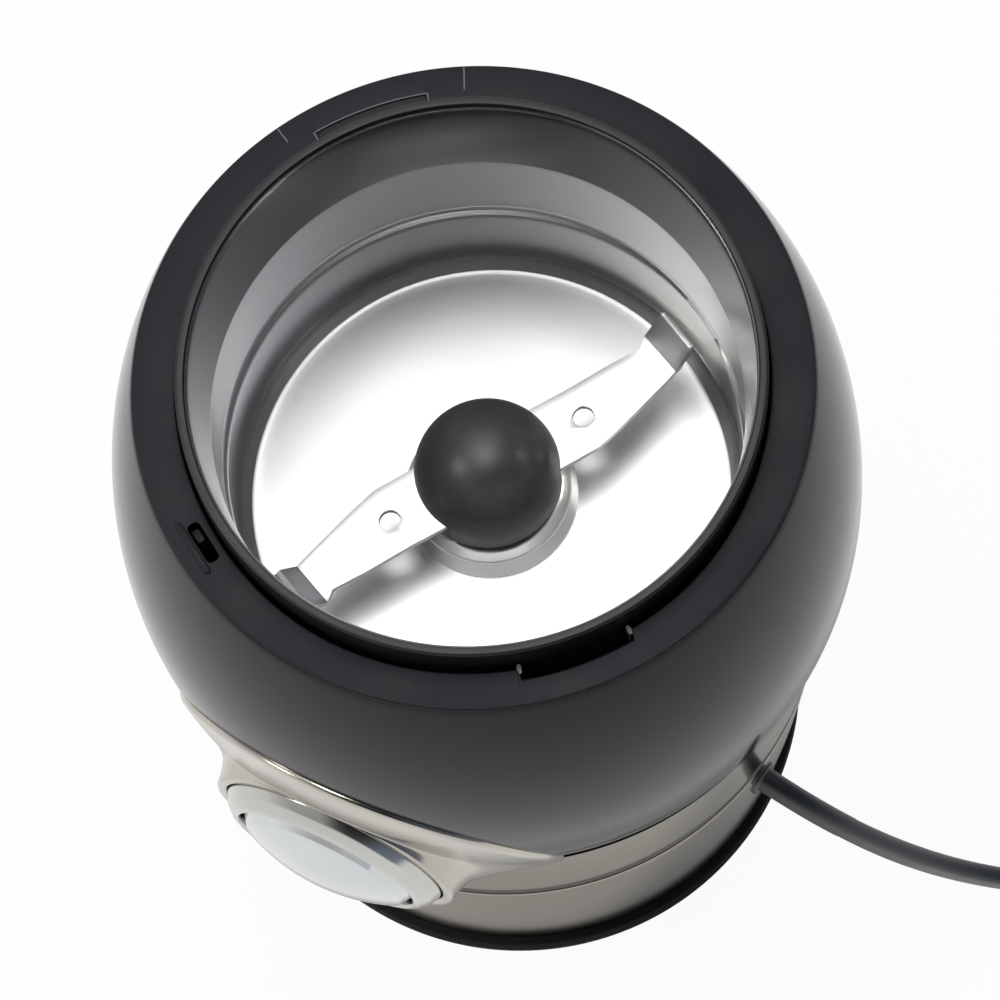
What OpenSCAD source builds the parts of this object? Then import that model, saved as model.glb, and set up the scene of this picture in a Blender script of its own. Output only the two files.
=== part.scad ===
// Electric spice grinder: a round barrel on a steel skirt, with an open grinding bowl on top.
// Units are millimetres. +Z is up, the button faces -Y, and the origin is the middle of the foot.

/* [Barrel] */
// Height of the locking ring's flat top above the table
ring_top = 144; // [138:1:152]
// Largest radius of the barrel
belly_r = 52.9; // [51.5:0.1:55]
// Distance of the barrel's widest place below the ring
belly_drop = 42; // [38:1:46]
// How much smaller the barrel's radius is at its rim than at its widest place
rim_inset = 6.9; // [6.4:0.1:7.6]
// How much smaller it is at its lower seam
seam_inset = 4; // [3:0.1:5]
// Wall of the barrel
barrel_wall = 2.6; // [2:0.1:3]

/* [Locking ring and bowl] */
// Width of the ring's flat top
ring_w = 4.5; // [4:0.1:5]
// Thickness of the ring's flat top
ring_t = 5; // [4:0.1:6]
// Gap between the ring and the bowl's collar
collar_gap = 1.1; // [0.8:0.1:1.4]
// How far the bowl's collar stands above the ring
collar_h = 4; // [3:0.1:6]
// Depth of the bowl from its lip to its floor
bowl_depth = 51.6; // [49:0.1:53]
// How much smaller the bowl's radius is in the well at its bottom
well_inset = 2; // [1:0.1:3]
// Height of the well above the bowl's floor
well_h = 16.6; // [14:0.1:19]
// Height of the flared mouth at the bowl's top
mouth_h = 15.6; // [12:0.1:19]
// How much smaller the bowl's radius is below the flared mouth
mouth_flare = 1.6; // [0.8:0.1:1.9]
// Wall of the steel bowl
bowl_wall = 0.6; // [0.5:0.1:0.8]

/* [Blade] */
// Gap between the blade's tips and the wall of the well
blade_gap = 2.3; // [1.8:0.1:4]
// Width of the blade's arms
arm_w = 10.2; // [8:0.1:11]
// Thickness of the blade
blade_t = 1.2; // [1:0.1:1.5]
// Height of the blade above the bowl's floor
blade_lift = 10.4; // [9.8:0.1:12]
// Radius of the two holes in the arms
blade_hole_r = 1.55; // [1:0.05:2]
// Distance of those holes from the axis
blade_hole_at = 15.6; // [14:0.1:18]
// Length of the tips that are bent up
tip_l = 6.4; // [4:0.1:7]
// Angle of the bent tips
tip_angle = 57; // [40:1:62]
// Turn of the blade about the axis at rest
blade_turn = 53.3; // [0:1:180]
// Radius of the round cap over the blade's nut
cap_r = 10.5; // [9.5:0.1:11]

/* [Skirt and foot] */
// Height of the black foot ring
foot_h = 5.5; // [4.5:0.1:7]
// How far the foot stands out past the skirt's lower edge
foot_proud = 1.2; // [0.6:0.1:1.6]
// How much smaller the skirt's radius is at its lower edge than the barrel's at the seam
skirt_taper = 5.7; // [5:0.1:6.2]
// Thickness of the steel skirt
skirt_t = 1.2; // [1:0.1:1.4]
// Distance of the black band below the seam
band_drop = 24.4; // [20:0.1:27]
// Height of that band
band_h = 3.4; // [2:0.1:5]

/* [Button] */
// Height of the button's middle above the seam
button_rise = 7.3; // [6.6:0.1:8.5]
// Radius of the domed button
button_r = 13.5; // [12.5:0.1:14]
// Height of the button's dome
button_dome = 3.2; // [2:0.1:4]
// Travel of the button
button_travel = 2.5; // [1.5:0.1:2.8]
// Width of the sloping ring round the button
bezel_w = 3.5; // [3:0.1:4]
// How far that ring rises from its outer edge to its inner one
bezel_rise = 2.9; // [2:0.1:3.4]
// How far the round boss under the ring stands out of the barrel
boss_proud = 2.3; // [1.9:0.1:3.7]
// Width of the boss round the ring
boss_w = 1.8; // [1.5:0.1:2.6]
// Width of the silver front panel round the boss
apron_w = 10.8; // [9.2:0.1:12]
// How far the front panel stands proud of the barrel
apron_proud = 0.6; // [0.3:0.1:1]

/* [Lid interlock] */
// Direction of the interlock slot, seen from above
lock_turn = -122.3; // [-128:0.1:-116]
// Distance of the slot's middle from the ring's inner edge
lock_inset = 1.3; // [1.2:0.1:1.5]
// Travel of the interlock pin
lock_travel = 3; // [2:0.1:3.5]

/* [Motor] */
// Radius of the motor's shaft
shaft_r = 3; // [2.5:0.1:3.2]
// Radius of the stator's iron core
stator_r = 27; // [25:0.5:30]
// Radius of the rotor
rotor_r = 14.5; // [13:0.1:16]
// Height of the lower face of the stack of iron laminations
stack_z = 42; // [40:1:44]

/* [Cord] */
// Width of the flat two-core cord
cord_w = 5.4; // [4.8:0.1:5.8]
// Thickness of the cord
cord_t = 3.5; // [3:0.1:4]
// Distance of the cord's outlet below the black band
outlet_drop = 13; // [11:0.5:15]
// Direction of the outlet, seen from above
outlet_turn = -9; // [-12:0.5:-6]
// Length of the strain relief outside the skirt
relief_l = 20; // [16:1:24]

/* [Hidden] */
$fn = 96;
eps = 0.01;
fit = 0.15; // gap between fixed pieces that slot together
run_fit = 0.05; // radial clearance of a shaft in its bush

function between(a, b, n) = [for (i = [0:n]) a + (b - a) * i / n];

// Collar and bowl, from the ring's top down
rim_r = belly_r - rim_inset;
rim_lip = 0.6; // width of the barrel's edge round the ring
ring_r = rim_r - rim_lip;
ring_hole_r = ring_r - ring_w;
ring_seat_r = ring_r + fit;
ring_low = ring_top - ring_t;
ring_neck_r = ring_r - 1.4;
trench_d = 8; // depth of the trench between ring and collar
trench_t = 2;
collar_r = ring_hole_r - collar_gap;
collar_wall = 1;
collar_top = ring_top + collar_h;
collar_base_d = 12; // depth of the collar's foot below the ring's top
collar_base = ring_top - collar_base_d;
bowl_out = collar_r - collar_wall;
bowl_r = bowl_out - bowl_wall;
lip_drop = 0.4;
lip_z = collar_top - lip_drop;
floor_z = lip_z - bowl_depth;
well_r = bowl_r - well_inset;
well_top = floor_z + well_h;
mouth_z = lip_z - mouth_h;
mid_r = bowl_r - mouth_flare;
well_corner = 2.5;
wall_step = 2;
floor_hole_r = 9;

// Deck and holder that carry the bowl
holder_gap = 0.6;
holder_wall = 1.6;
holder_in = bowl_out + holder_gap;
holder_out = holder_in + holder_wall;
deck_drop = 6;
deck_z = floor_z - deck_drop;
deck_t = 2.5;
seat_r = well_r - well_corner - 1;
seat_w = 3; // width of the round seat that the bowl's floor rests on

// Barrel: two arcs that meet at the widest place
seam_room = 14.6; // room between the deck and the seam, for the button's switch
seam_z = deck_z - seam_room;
seam_r = belly_r - seam_inset;
belly_z = ring_top - belly_drop;
barrel_top = ring_top - 0.5;
barrel_steps = 26;
function arc_r(h, d) = (h * h + d * d) / (2 * d);
function arc_drop(r, h) = r - sqrt(r * r - h * h);
top_arc = arc_r(belly_drop, rim_inset);
low_arc = arc_r(belly_z - seam_z, seam_inset);
function barrel_r(z) = belly_r - arc_drop(z > belly_z ? top_arc : low_arc, abs(z - belly_z));
deck_r = barrel_r(deck_z) - barrel_wall - 2 * fit;

// Hub, bush and shaft under the blade
hub_low_drop = 3;
hub_low = deck_z - hub_low_drop;
hub_h = 5;
hub_top = floor_z + hub_h;
hub_r = 12.5;
hub_top_r = 12.2;
hub_lip = 1;
bush_r = 6.5;
seal_h = 2.2;
neck_step = 0.5; // the blade's end of the shaft is thinner by this much
neck_r = shaft_r - neck_step;
washer_r = 7;
washer_t = 2.4;
nut_h = 4;
cap_lift = 2.2;
blade_z = floor_z + blade_lift;
cap_low = hub_top + cap_lift;
cap_mid = blade_z - 0.5;
shaft_top = blade_z + blade_t + nut_h;
arm_l = well_r - blade_gap - tip_l * cos(tip_angle);

// Skirt: a slightly bulging cone
seam_gap = 0.5;
skirt_r = seam_r - skirt_taper;
skirt_top = seam_z - seam_gap;
skirt_top_r = seam_r - 0.3;
function skirt_share(z) = (z - foot_h) / (skirt_top - foot_h);
skirt_bulge = 0.6;
function skirt_at(z) =
    skirt_r + (skirt_top_r - skirt_r) * skirt_share(z) * (1 + skirt_bulge - skirt_bulge * skirt_share(z));
skirt_steps = 10;
band_z = seam_z - band_drop;
band_d = 0.7;
band_proud = 0.45;

// Chassis: the plastic can inside the skirt, narrower towards its floor
chassis_gap = 0.3;
chassis_foot_r = skirt_r - skirt_t - chassis_gap;
chassis_r = chassis_foot_r + 1.5;
chassis_cone_h = 24.5;
chassis_knee_z = foot_h + chassis_cone_h;
chassis_wall = 2.2;
chassis_low = foot_h;
chassis_top_drop = 2;
chassis_top = seam_z - chassis_top_drop;
chassis_floor = 2.5;
flange_w = 13.5;
flange_t = 3;
foot_r = skirt_r + foot_proud;
foot_w = 6.8;
foot_in = foot_r - foot_w;
foot_top_r = skirt_r + 0.1;
foot_round = 0.7;
plate_t = 2.2;
plate_z = foot_h - plate_t;
plate_r = foot_in - fit;
post_r = 4;
post_h = 5;
post_inset = 14.7;
post_at = chassis_r - post_inset;
screw_r = 1.5;
screw_l = 8.7;
head_r = 2.9;
head_h = 1.4;
vent_l = 12;
vent_w = 2;
vent_at = 10;

// Motor stack
motor_plate_z = chassis_top;
motor_plate_t = 3;
motor_plate_r = chassis_r - 3.3;
winding_h = 7;
winding_inset = 1.2;
stack_room = winding_h + 4.4; // room for the windings under the motor plate
stack_h = motor_plate_z - stack_room - stack_z;
stack_top = stack_z + stack_h;
air_gap = 0.4;
stator_in = rotor_r + air_gap;
winding_r = rotor_r - winding_inset;
coil_t = 4.4;
coil_w = 13.4;
coil_eye = 4;
coil_gap = 0.3;
rotor_slot_d = 3;
rotor_slot_w = 1.6;
commutator_r = 8.5;
commutator_h = 9;
commutator_z = stack_z - winding_h - commutator_h - 1;
brush_w = 5;
brush_l = 10;
brush_wall = 1;
brush_gap = 0.1;
brush_lift = 1;
bracket_t = 3;
bracket_w = 14;
bracket_drop = 7;
bracket_z = commutator_z - bracket_drop;
motor_screw_inset = 5;
motor_screw_at = stator_r - motor_screw_inset;
motor_screw_r = 1.8;
motor_head_h = 1.6;
spacer_room = 0.8; // clearance round the screws' spacers in the chassis's flange
mount_neck_r = 3.5;
mount_r = 4.5;
mount_t = 1.5;
mount_inset = 8.7;
mount_at = chassis_r - mount_inset;
fan_gap = 1.5;
fan_z = chassis_low + chassis_floor + fan_gap;
fan_h = 6;
fan_t = 1.5;
fan_blade_t = 1.2;
fan_hub_r = 8;
fan_r = post_at - post_r - 2;
shaft_low = fan_z - 0.5;
suppressor_l = 18;
suppressor_w = 8;
suppressor_h = 9;

// Button group: built with the button's axis along +Z, then laid down to face -Y
button_z = seam_z + button_rise;
bezel_r = button_r + bezel_w;
boss_r = bezel_r + boss_w;
apron_r = boss_r + apron_w;
boss_reach = barrel_r(button_z) + boss_proud; // distance of the boss's face from the barrel's axis
bezel_t = 1.4;
bezel_seat = 2.4;
button_gap = 0.25;
button_skirt = 3.4;
button_wall = 1.6;
button_face = boss_reach + bezel_rise;
stem_r = 4;
guide_fit = 0.06;
guide_l = 6;
guide_wall = 2;
flare_d = 12;
flare_lip = 0.3;
flare_fall = 3.5; // height of the boss over the panel at the boss's foot
flare_slope = 0.8; // how steeply the panel falls away from there
flare_bend = 0.55; // how tightly the boss's side turns into the panel
flare_gap = 0.1;
flare_r = boss_r + (flare_d - flare_lip - flare_fall) / flare_slope;
boss_wall_r = bezel_r + fit;
panel_in = holder_out + 0.9;
apron_in = barrel_wall;
carrier_t = 2.4;
carrier_reach = boss_reach - flare_d - flare_gap;
carrier_w = 2 * boss_r - 3;
carrier_low = motor_plate_z + motor_plate_t;
carrier_high = button_z + boss_r - 2.5;
spring_r = 6.2;
spring_wire = 0.9;
switch_w = 20;
switch_d = deck_z - carrier_low - 1.6;
switch_h = 11;
switch_reach = carrier_reach - guide_l - button_travel - 2.5;
plunger_r = 2;
plunger_gap = 0.2;

// Lid interlock
lock_r = ring_hole_r + lock_inset;
lock_w = 1.2;
lock_l = 5.5;
lock_gap = 0.25;
lock_slot_d = trench_d + 6;
pin_head_l = 3.2;
pin_head_at = 0.2;
pin_head_drop = 1;
pin_drop = 26;
pin_low = ring_top - pin_drop;
spring_h = lock_travel + 3;
spring_wall = 0.8;
lid_switch_h = 10;
lid_switch_w = 10;
lid_switch_t = 4;
lid_switch_z = pin_low - spring_h - lid_switch_h;
lid_post_in = 0.6;

// Bayonet pockets for the lid's lugs
pocket_d = 1.5;
pocket_r = ring_hole_r + pocket_d;
pocket_arc = 22;
pocket_turns = [-44.4, 135.6];

// Outlet of the cord
outlet_z = band_z - outlet_drop;
outlet_dir = [cos(outlet_turn), sin(outlet_turn)];
outlet_r = skirt_at(outlet_z);
outlet_gap = 1;
outlet_cut = 12;
cord_drop_l = 61; // length of the curve from the skirt down to the table
relief_in = 4;
relief_grow = 1; // how much wider than the cord the relief is at the skirt
relief_end_grow = 0.4;
relief_share = relief_l / cord_drop_l;
relief_flange = 2.2;
relief_flange_t = 1.3;
clamp_l = 9;
clamp_w = 12;
clamp_h = 14;

// The cord's route: out of the skirt, down to the table, straight on, and round into a coil
coil_at = [106.3, 44.7];
coil_line_r = 31; // radius of the coil's outermost turn, to the middle of the cord
coil_band_w = 10.85;
ring_slack = 0.3;
coil_out_r = coil_line_r + cord_t / 2 + ring_slack;
coil_in_r = coil_out_r - coil_band_w;
coil_low = 0.6;
coil_h = 2 * cord_w + 0.1;
coil_join_turn = -68;
join_heading = [-sin(coil_join_turn), cos(coil_join_turn), 0];
lying_z = coil_low + cord_w / 2;
join = [
    coil_at.x + coil_line_r * cos(coil_join_turn),
    coil_at.y + coil_line_r * sin(coil_join_turn),
    lying_z
];
coil_inside_r = coil_line_r - cord_t / 2;
// Where the straight run meets the coil, measured back from where it would touch
meet_l = sqrt(coil_out_r * coil_out_r - coil_inside_r * coil_inside_r) + ring_slack;
straight_l = 28;
landing = join - join_heading * straight_l;
outlet = [outlet_r * outlet_dir.x, outlet_r * outlet_dir.y, outlet_z];
outlet_heading = [outlet_dir.x, outlet_dir.y, 0];
outlet_pull = 15.4;
landing_pull = 21;
cord_gap = 0.006;
tail_turn = -85; // where the tail leaves the coil
tail_l = 20.5;
tail_high_z = coil_low + cord_w * 1.5;
tail_drop_left = 0.3; // share of its drop to the plug that is left where it is clear of the coil
tail_gap = 0.7;
tie_t = 0.6;
tie_w = 7;
tie_turn = 160;
tie_gap = 0.4;

// Plug
plug_w = 35.3;
plug_t = 13.7;
// From the coil's middle, with the tail leaving straight along +Y
plug_at = [coil_line_r, tail_l, plug_t / 2];
tail_start = [coil_line_r, meet_l, plug_at.z + (tail_high_z - plug_at.z) * tail_drop_left];
plug_l = 36;
plug_back_w = 12;
plug_straight = 9;
boot_l = 10;
boot_r = 5;
boot_end_r = 3.6;
pin_gap = 18.6;
plug_pin_r = 2;
plug_pin_l = 19;
plug_pin_tip = 1;

module tube(r_out, r_in, h) {
    difference() {
        cylinder(r = r_out, h = h);
        translate([0, 0, -1]) cylinder(r = r_in, h = h + 2);
    }
}

// Lays a piece that is built round +Z down, so that its axis is the button's and +Z points out
module on_button() {
    translate([0, 0, button_z]) rotate([90, 0, 0]) children();
}

module at_lock() {
    rotate([0, 0, lock_turn]) children();
}

// ---- Foot and base ----

module foot_ring() {
    color("#1a1b1d") rotate_extrude() polygon([
        [foot_in, 0], [foot_r - foot_round, 0], [foot_r, foot_round], [foot_r + 0.2, foot_h / 2],
        [foot_r, foot_h - foot_round], [foot_top_r, foot_h], [foot_in, foot_h]
    ]);
}

module base_plate() {
    color("#202124") difference() {
        translate([0, 0, plate_z]) cylinder(r = plate_r, h = plate_t);
        for (i = [0:2]) rotate([0, 0, 120 * i]) translate([post_at, 0, 0]) {
            cylinder(r = screw_r + fit, h = foot_h);
            translate([0, 0, plate_z - 1]) cylinder(r = head_r + fit, h = head_h + 1);
        }
        for (i = [0:11]) rotate([0, 0, 30 * i + 15])
            translate([vent_at, -vent_w / 2, plate_z - 1]) cube([vent_l, vent_w, plate_t + 2]);
    }
}

module base_screws() {
    color("#b9bcc0") for (i = [0:2]) rotate([0, 0, 120 * i]) translate([post_at, 0, plate_z]) {
        cylinder(r = head_r, h = head_h);
        cylinder(r = screw_r, h = screw_l);
    }
}

// The hole that the cord and its relief pass through, from its inner end outwards
module outlet_slot() {
    translate([0, -cord_t / 2 - outlet_gap, -cord_w / 2 - outlet_gap])
        cube([outlet_cut, cord_t + 2 * outlet_gap, cord_w + 2 * outlet_gap]);
}

module chassis() {
    color("#232427") difference() {
        union() {
            rotate_extrude() polygon([
                [chassis_foot_r - chassis_wall, chassis_low], [chassis_foot_r, chassis_low],
                [chassis_r, chassis_knee_z], [chassis_r, chassis_top],
                [chassis_r - chassis_wall, chassis_top], [chassis_r - chassis_wall, chassis_knee_z]
            ]);
            translate([0, 0, chassis_low]) cylinder(r = chassis_foot_r - eps, h = chassis_floor);
            translate([0, 0, chassis_top - flange_t]) tube(chassis_r - eps, chassis_r - flange_w, flange_t);
            for (i = [0:2]) rotate([0, 0, 120 * i]) translate([post_at, 0, chassis_low + eps])
                cylinder(r = post_r, h = chassis_floor + post_h);
        }
        for (i = [0:2]) rotate([0, 0, 120 * i]) translate([post_at, 0, chassis_low - 1])
            cylinder(r = screw_r, h = screw_l);
        for (i = [0:11]) rotate([0, 0, 30 * i + 15])
            translate([vent_at - 2, -vent_w / 2, chassis_low - 1]) cube([vent_l, vent_w, chassis_floor + 2]);
        for (i = [0:2]) rotate([0, 0, 120 * i + 60]) translate([mount_at, 0, chassis_top - flange_t - 1])
            cylinder(r = mount_neck_r + fit, h = flange_t + 2);
        for (side = [-1, 1]) translate([0, side * motor_screw_at, chassis_top - flange_t - 1])
            cylinder(r = post_r + spacer_room, h = flange_t + 2);
        rotate([0, 0, outlet_turn]) translate([chassis_r - outlet_cut / 2, 0, outlet_z]) outlet_slot();
    }
}

module steel_skirt() {
    color("#b7b3aa") difference() {
        rotate_extrude() polygon(concat(
            [for (z = between(foot_h, skirt_top, skirt_steps)) [skirt_at(z), z]],
            [for (z = between(skirt_top, foot_h, skirt_steps)) [skirt_at(z) - skirt_t, z]]
        ));
        translate([0, 0, band_z - band_h / 2]) tube(skirt_top_r + 2, skirt_at(band_z) - band_d, band_h);
        rotate([0, 0, outlet_turn]) translate([skirt_r - outlet_cut / 4, 0, outlet_z]) outlet_slot();
    }
}

module skirt_band() {
    color("#15161a") translate([0, 0, band_z - band_h / 2 + fit])
        tube(skirt_at(band_z) - band_d + band_proud, skirt_at(band_z) - band_d, band_h - 2 * fit);
}

// ---- Barrel, locking ring and bowl ----

// Outline of the front panel in the button's own plane: an arch above, straight sides below
module apron_outline(grow = 0) {
    intersection() {
        union() {
            circle(r = apron_r + grow);
            translate([-apron_r - grow, -apron_r * 2]) square([2 * (apron_r + grow), apron_r * 2]);
        }
        translate([-apron_r * 2, seam_z - button_z + fit - 2 * grow]) square([apron_r * 4, apron_r * 3]);
    }
}

module barrel() {
    color("#3c3f44") difference() {
        rotate_extrude() polygon(concat(
            [for (z = between(seam_z, barrel_top, barrel_steps)) [barrel_r(z), z]],
            [for (z = between(barrel_top, seam_z, barrel_steps)) [barrel_r(z) - barrel_wall, z]]
        ));
        translate([0, 0, ring_low]) cylinder(r = ring_seat_r, h = ring_t + 1);
        on_button() translate([0, 0, 20]) linear_extrude(height = belly_r) apron_outline(fit);
    }
}

module locking_ring() {
    color("#2f3238") difference() {
        union() {
            translate([0, 0, ring_low]) tube(ring_r, ring_hole_r, ring_t);
            translate([0, 0, ring_top - trench_d - trench_t])
                tube(ring_neck_r, ring_hole_r, trench_d + trench_t - 1);
            translate([0, 0, ring_top - trench_d - trench_t])
                tube(ring_neck_r - eps, collar_r + fit, trench_t);
        }
        for (turn = pocket_turns) rotate([0, 0, turn - pocket_arc / 2]) translate([0, 0, ring_top - trench_d])
            rotate_extrude(angle = pocket_arc) translate([ring_hole_r - 3, 0])
                square([pocket_r - ring_hole_r + 3, trench_d + 1]);
        at_lock() translate([lock_r - lock_w / 2 - lock_gap, -lock_l / 2 - lock_gap, ring_top - lock_slot_d])
            cube([lock_w + 2 * lock_gap, lock_l + 2 * lock_gap, lock_slot_d + 1]);
    }
}

module bowl_collar() {
    color("#1b1c20") rotate_extrude() polygon([
        [bowl_out + fit, collar_base], [holder_out - 0.2, collar_base],
        [holder_out - 0.2, ring_top - trench_d - trench_t - fit],
        [collar_r, ring_top - trench_d - trench_t - fit],
        [collar_r, collar_top - 0.4], [collar_r - 0.4, collar_top],
        [bowl_out + fit, collar_top]
    ]);
}

module bowl() {
    corner = [for (a = between(0, -90, 6))
        [well_r - well_corner + well_corner * cos(a), floor_z + well_corner + well_corner * sin(a)]];
    outer_corner = [for (a = between(-90, 0, 6)) [
        well_r - well_corner + (well_corner + bowl_wall) * cos(a),
        floor_z + well_corner + (well_corner + bowl_wall) * sin(a)
    ]];
    color("#c9cacc") rotate_extrude() polygon(concat(
        [[bowl_r, lip_z], [mid_r, mouth_z], [mid_r, well_top + wall_step], [well_r, well_top]],
        corner,
        [[floor_hole_r, floor_z], [floor_hole_r, floor_z - bowl_wall]],
        outer_corner,
        [[well_r + bowl_wall, well_top - 0.2], [mid_r + bowl_wall, well_top + wall_step - 0.2]],
        [[mid_r + bowl_wall, mouth_z], [bowl_out, lip_z]]
    ));
}

// Clears the space that the button's pieces need in the bowl's deck and holder
module button_room() {
    room_reach = carrier_reach - carrier_t - 0.6;
    on_button() translate([-apron_r - 1, carrier_low - button_z - 2, room_reach])
        cube([2 * apron_r + 2, carrier_high - carrier_low + 4, belly_r - room_reach]);
}

module bowl_deck() {
    color("#2a2b2f") difference() {
        union() {
            translate([0, 0, deck_z]) cylinder(r = deck_r, h = deck_t);
            translate([0, 0, deck_z + eps]) tube(seat_r, seat_r - seat_w, deck_drop - bowl_wall - eps);
            at_lock() translate([holder_out - lid_post_in, -lid_switch_w / 2, deck_z + eps])
                cube([lid_switch_t + lid_post_in, lid_switch_w, lid_switch_z - deck_z - eps]);
        }
        translate([0, 0, deck_z - 1]) cylinder(r = floor_hole_r + fit, h = deck_t + 2);
        translate([0, 0, deck_z + deck_t]) tube(holder_out, holder_in, lid_switch_z);
        button_room();
    }
}

module bowl_holder() {
    color("#2a2b2f") difference() {
        translate([0, 0, deck_z + deck_t]) tube(holder_out, holder_in, collar_base - deck_z - deck_t);
        at_lock() translate([lock_r - lock_w / 2 - 1, -lid_switch_w, lid_switch_z])
            cube([lid_switch_t * 2, lid_switch_w * 2, collar_base]);
        button_room();
    }
}

// ---- Blade and its drive ----

module hub() {
    color("#b4b6b8") difference() {
        rotate_extrude() polygon([
            [bush_r, hub_low], [floor_hole_r - fit, hub_low], [floor_hole_r - fit, floor_z],
            [hub_r, floor_z], [hub_top_r, hub_top], [bush_r - 2 * hub_lip, hub_top],
            [bush_r - 2 * hub_lip, hub_top - hub_lip], [bush_r, hub_top - hub_lip]
        ]);
    }
}

module upper_bush() {
    color("#a8853f") translate([0, 0, hub_low])
        tube(bush_r, shaft_r + run_fit, hub_top - hub_lip - seal_h - hub_low);
}

module shaft_seal() {
    color("#8c2f22") translate([0, 0, hub_top - hub_lip - seal_h]) tube(bush_r, shaft_r + run_fit, seal_h);
}

module drive_shaft() {
    color("#9a9da1") {
        translate([0, 0, shaft_low]) cylinder(r = shaft_r, h = blade_z - washer_t - shaft_low);
        translate([0, 0, blade_z - washer_t - eps])
            cylinder(r = neck_r, h = shaft_top - blade_z + washer_t + eps);
    }
}

module blade_washer() {
    color("#8f9296") translate([0, 0, blade_z - washer_t]) tube(washer_r, neck_r, washer_t);
}

// One arm: flat plate with its outer corner notched, and the tip bent up
module blade_arm() {
    half = arm_w / 2;
    linear_extrude(height = blade_t) difference() {
        polygon([
            [-eps, half - 0.4], [14, half], [arm_l - 3, half + 0.4], [arm_l - 1, half + 2],
            [arm_l, half + 2], [arm_l, -half + 5], [16, -half + 0.3], [washer_r + 2, -half], [-eps, -half]
        ]);
        translate([blade_hole_at, 0.4]) circle(r = blade_hole_r);
    }
    translate([arm_l, 0, 0]) rotate([0, -tip_angle, 0]) translate([-0.4, 0, 0])
        linear_extrude(height = blade_t)
            polygon([[0, half + 2], [tip_l + 0.4, half + 2.6], [tip_l - 0.6, -half + 5.6], [0, -half + 5]]);
}

module blade() {
    color("#e2e3e5") translate([0, 0, blade_z]) rotate([0, 0, blade_turn]) difference() {
        union() {
            blade_arm();
            rotate([0, 0, 180]) blade_arm();
        }
        translate([0, 0, -1]) cylinder(r = neck_r, h = blade_t + 2);
    }
}

module blade_cap() {
    slot_w = arm_w + 1;
    color("#4a4b4d") difference() {
        union() {
            translate([0, 0, cap_low]) cylinder(r = cap_r, h = cap_mid - cap_low);
            intersection() {
                translate([0, 0, cap_mid]) sphere(r = cap_r);
                translate([0, 0, cap_mid - eps]) cylinder(r = cap_r + 1, h = cap_r + 1);
            }
        }
        rotate([0, 0, blade_turn]) translate([-cap_r - 1, -slot_w / 2, cap_low - 1])
            cube([2 * cap_r + 2, slot_w, blade_z + blade_t - cap_low + 1]);
        translate([0, 0, cap_low - 1]) cylinder(r = washer_r + 0.3, h = blade_z - cap_low + 1);
        translate([0, 0, cap_low - 1]) cylinder(r = neck_r, h = shaft_top - cap_low + 1);
    }
}

// ---- Motor ----

module motor_plate() {
    color("#8e9196") difference() {
        translate([0, 0, motor_plate_z]) cylinder(r = motor_plate_r, h = motor_plate_t);
        translate([0, 0, motor_plate_z - 1]) cylinder(r = bush_r, h = motor_plate_t + 2);
        for (side = [-1, 1]) translate([0, side * motor_screw_at, motor_plate_z - 1])
            cylinder(r = motor_screw_r, h = motor_plate_t + 2);
        for (i = [0:2]) rotate([0, 0, 120 * i + 60]) translate([mount_at, 0, motor_plate_z - 1])
            cylinder(r = mount_neck_r, h = motor_plate_t + 2);
        for (i = [0:7]) rotate([0, 0, 45 * i + 22.5]) translate([vent_at, -vent_w, motor_plate_z - 1])
            cube([vent_l / 2, vent_w * 2, motor_plate_t + 2]);
    }
}

module rubber_mounts() {
    color("#2b2b2b") for (i = [0:2]) rotate([0, 0, 120 * i + 60]) translate([mount_at, 0, 0]) {
        translate([0, 0, chassis_top - flange_t - eps])
            cylinder(r = mount_neck_r, h = motor_plate_t + flange_t + 2 * eps);
        translate([0, 0, motor_plate_z + motor_plate_t]) cylinder(r = mount_r, h = mount_t);
        translate([0, 0, chassis_top - flange_t - mount_t]) cylinder(r = mount_r, h = mount_t);
    }
}

module stator_core() {
    color("#6d7074") difference() {
        translate([0, 0, stack_z]) cylinder(r = stator_r, h = stack_h);
        translate([0, 0, stack_z - 1]) cylinder(r = stator_in, h = stack_h + 2);
        for (side = [0, 180]) rotate([0, 0, side])
            translate([rotor_r - 2, -coil_w / 2 - coil_gap, stack_z - 1])
                cube([coil_t + 2 + air_gap + 2 * coil_gap, coil_w + 2 * coil_gap, stack_h + 2]);
        for (side = [-1, 1]) translate([0, side * motor_screw_at, stack_z - 1])
            cylinder(r = motor_screw_r, h = stack_h + 2);
    }
}

module field_coils() {
    color("#8c4a24") for (side = [0, 180]) rotate([0, 0, side])
        translate([stator_in + coil_gap, -coil_w / 2, stack_z - winding_h + 1]) difference() {
            cube([coil_t, coil_w, stack_h + 2 * winding_h - 2]);
            translate([-1, (coil_w - coil_eye) / 2, winding_h]) cube([coil_t + 2, coil_eye, stack_h - 2]);
        }
}

module rotor_core() {
    color("#7b7e82") difference() {
        translate([0, 0, stack_z]) tube(rotor_r, shaft_r, stack_h);
        for (i = [0:11]) rotate([0, 0, 30 * i])
            translate([rotor_r - rotor_slot_d, -rotor_slot_w / 2, stack_z - 1])
                cube([rotor_slot_d + 2, rotor_slot_w, stack_h + 2]);
    }
}

module rotor_windings() {
    color("#9c5428") {
        translate([0, 0, stack_z - winding_h]) tube(winding_r, shaft_r, winding_h);
        translate([0, 0, stack_top]) tube(winding_r, shaft_r, winding_h);
    }
}

module commutator() {
    color("#b5723a") difference() {
        translate([0, 0, commutator_z]) tube(commutator_r, shaft_r, commutator_h + 1);
        for (i = [0:11]) rotate([0, 0, 30 * i]) translate([commutator_r - 0.8, -0.3, commutator_z - 1])
            cube([2, 0.6, commutator_h - 1]);
    }
}

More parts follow.
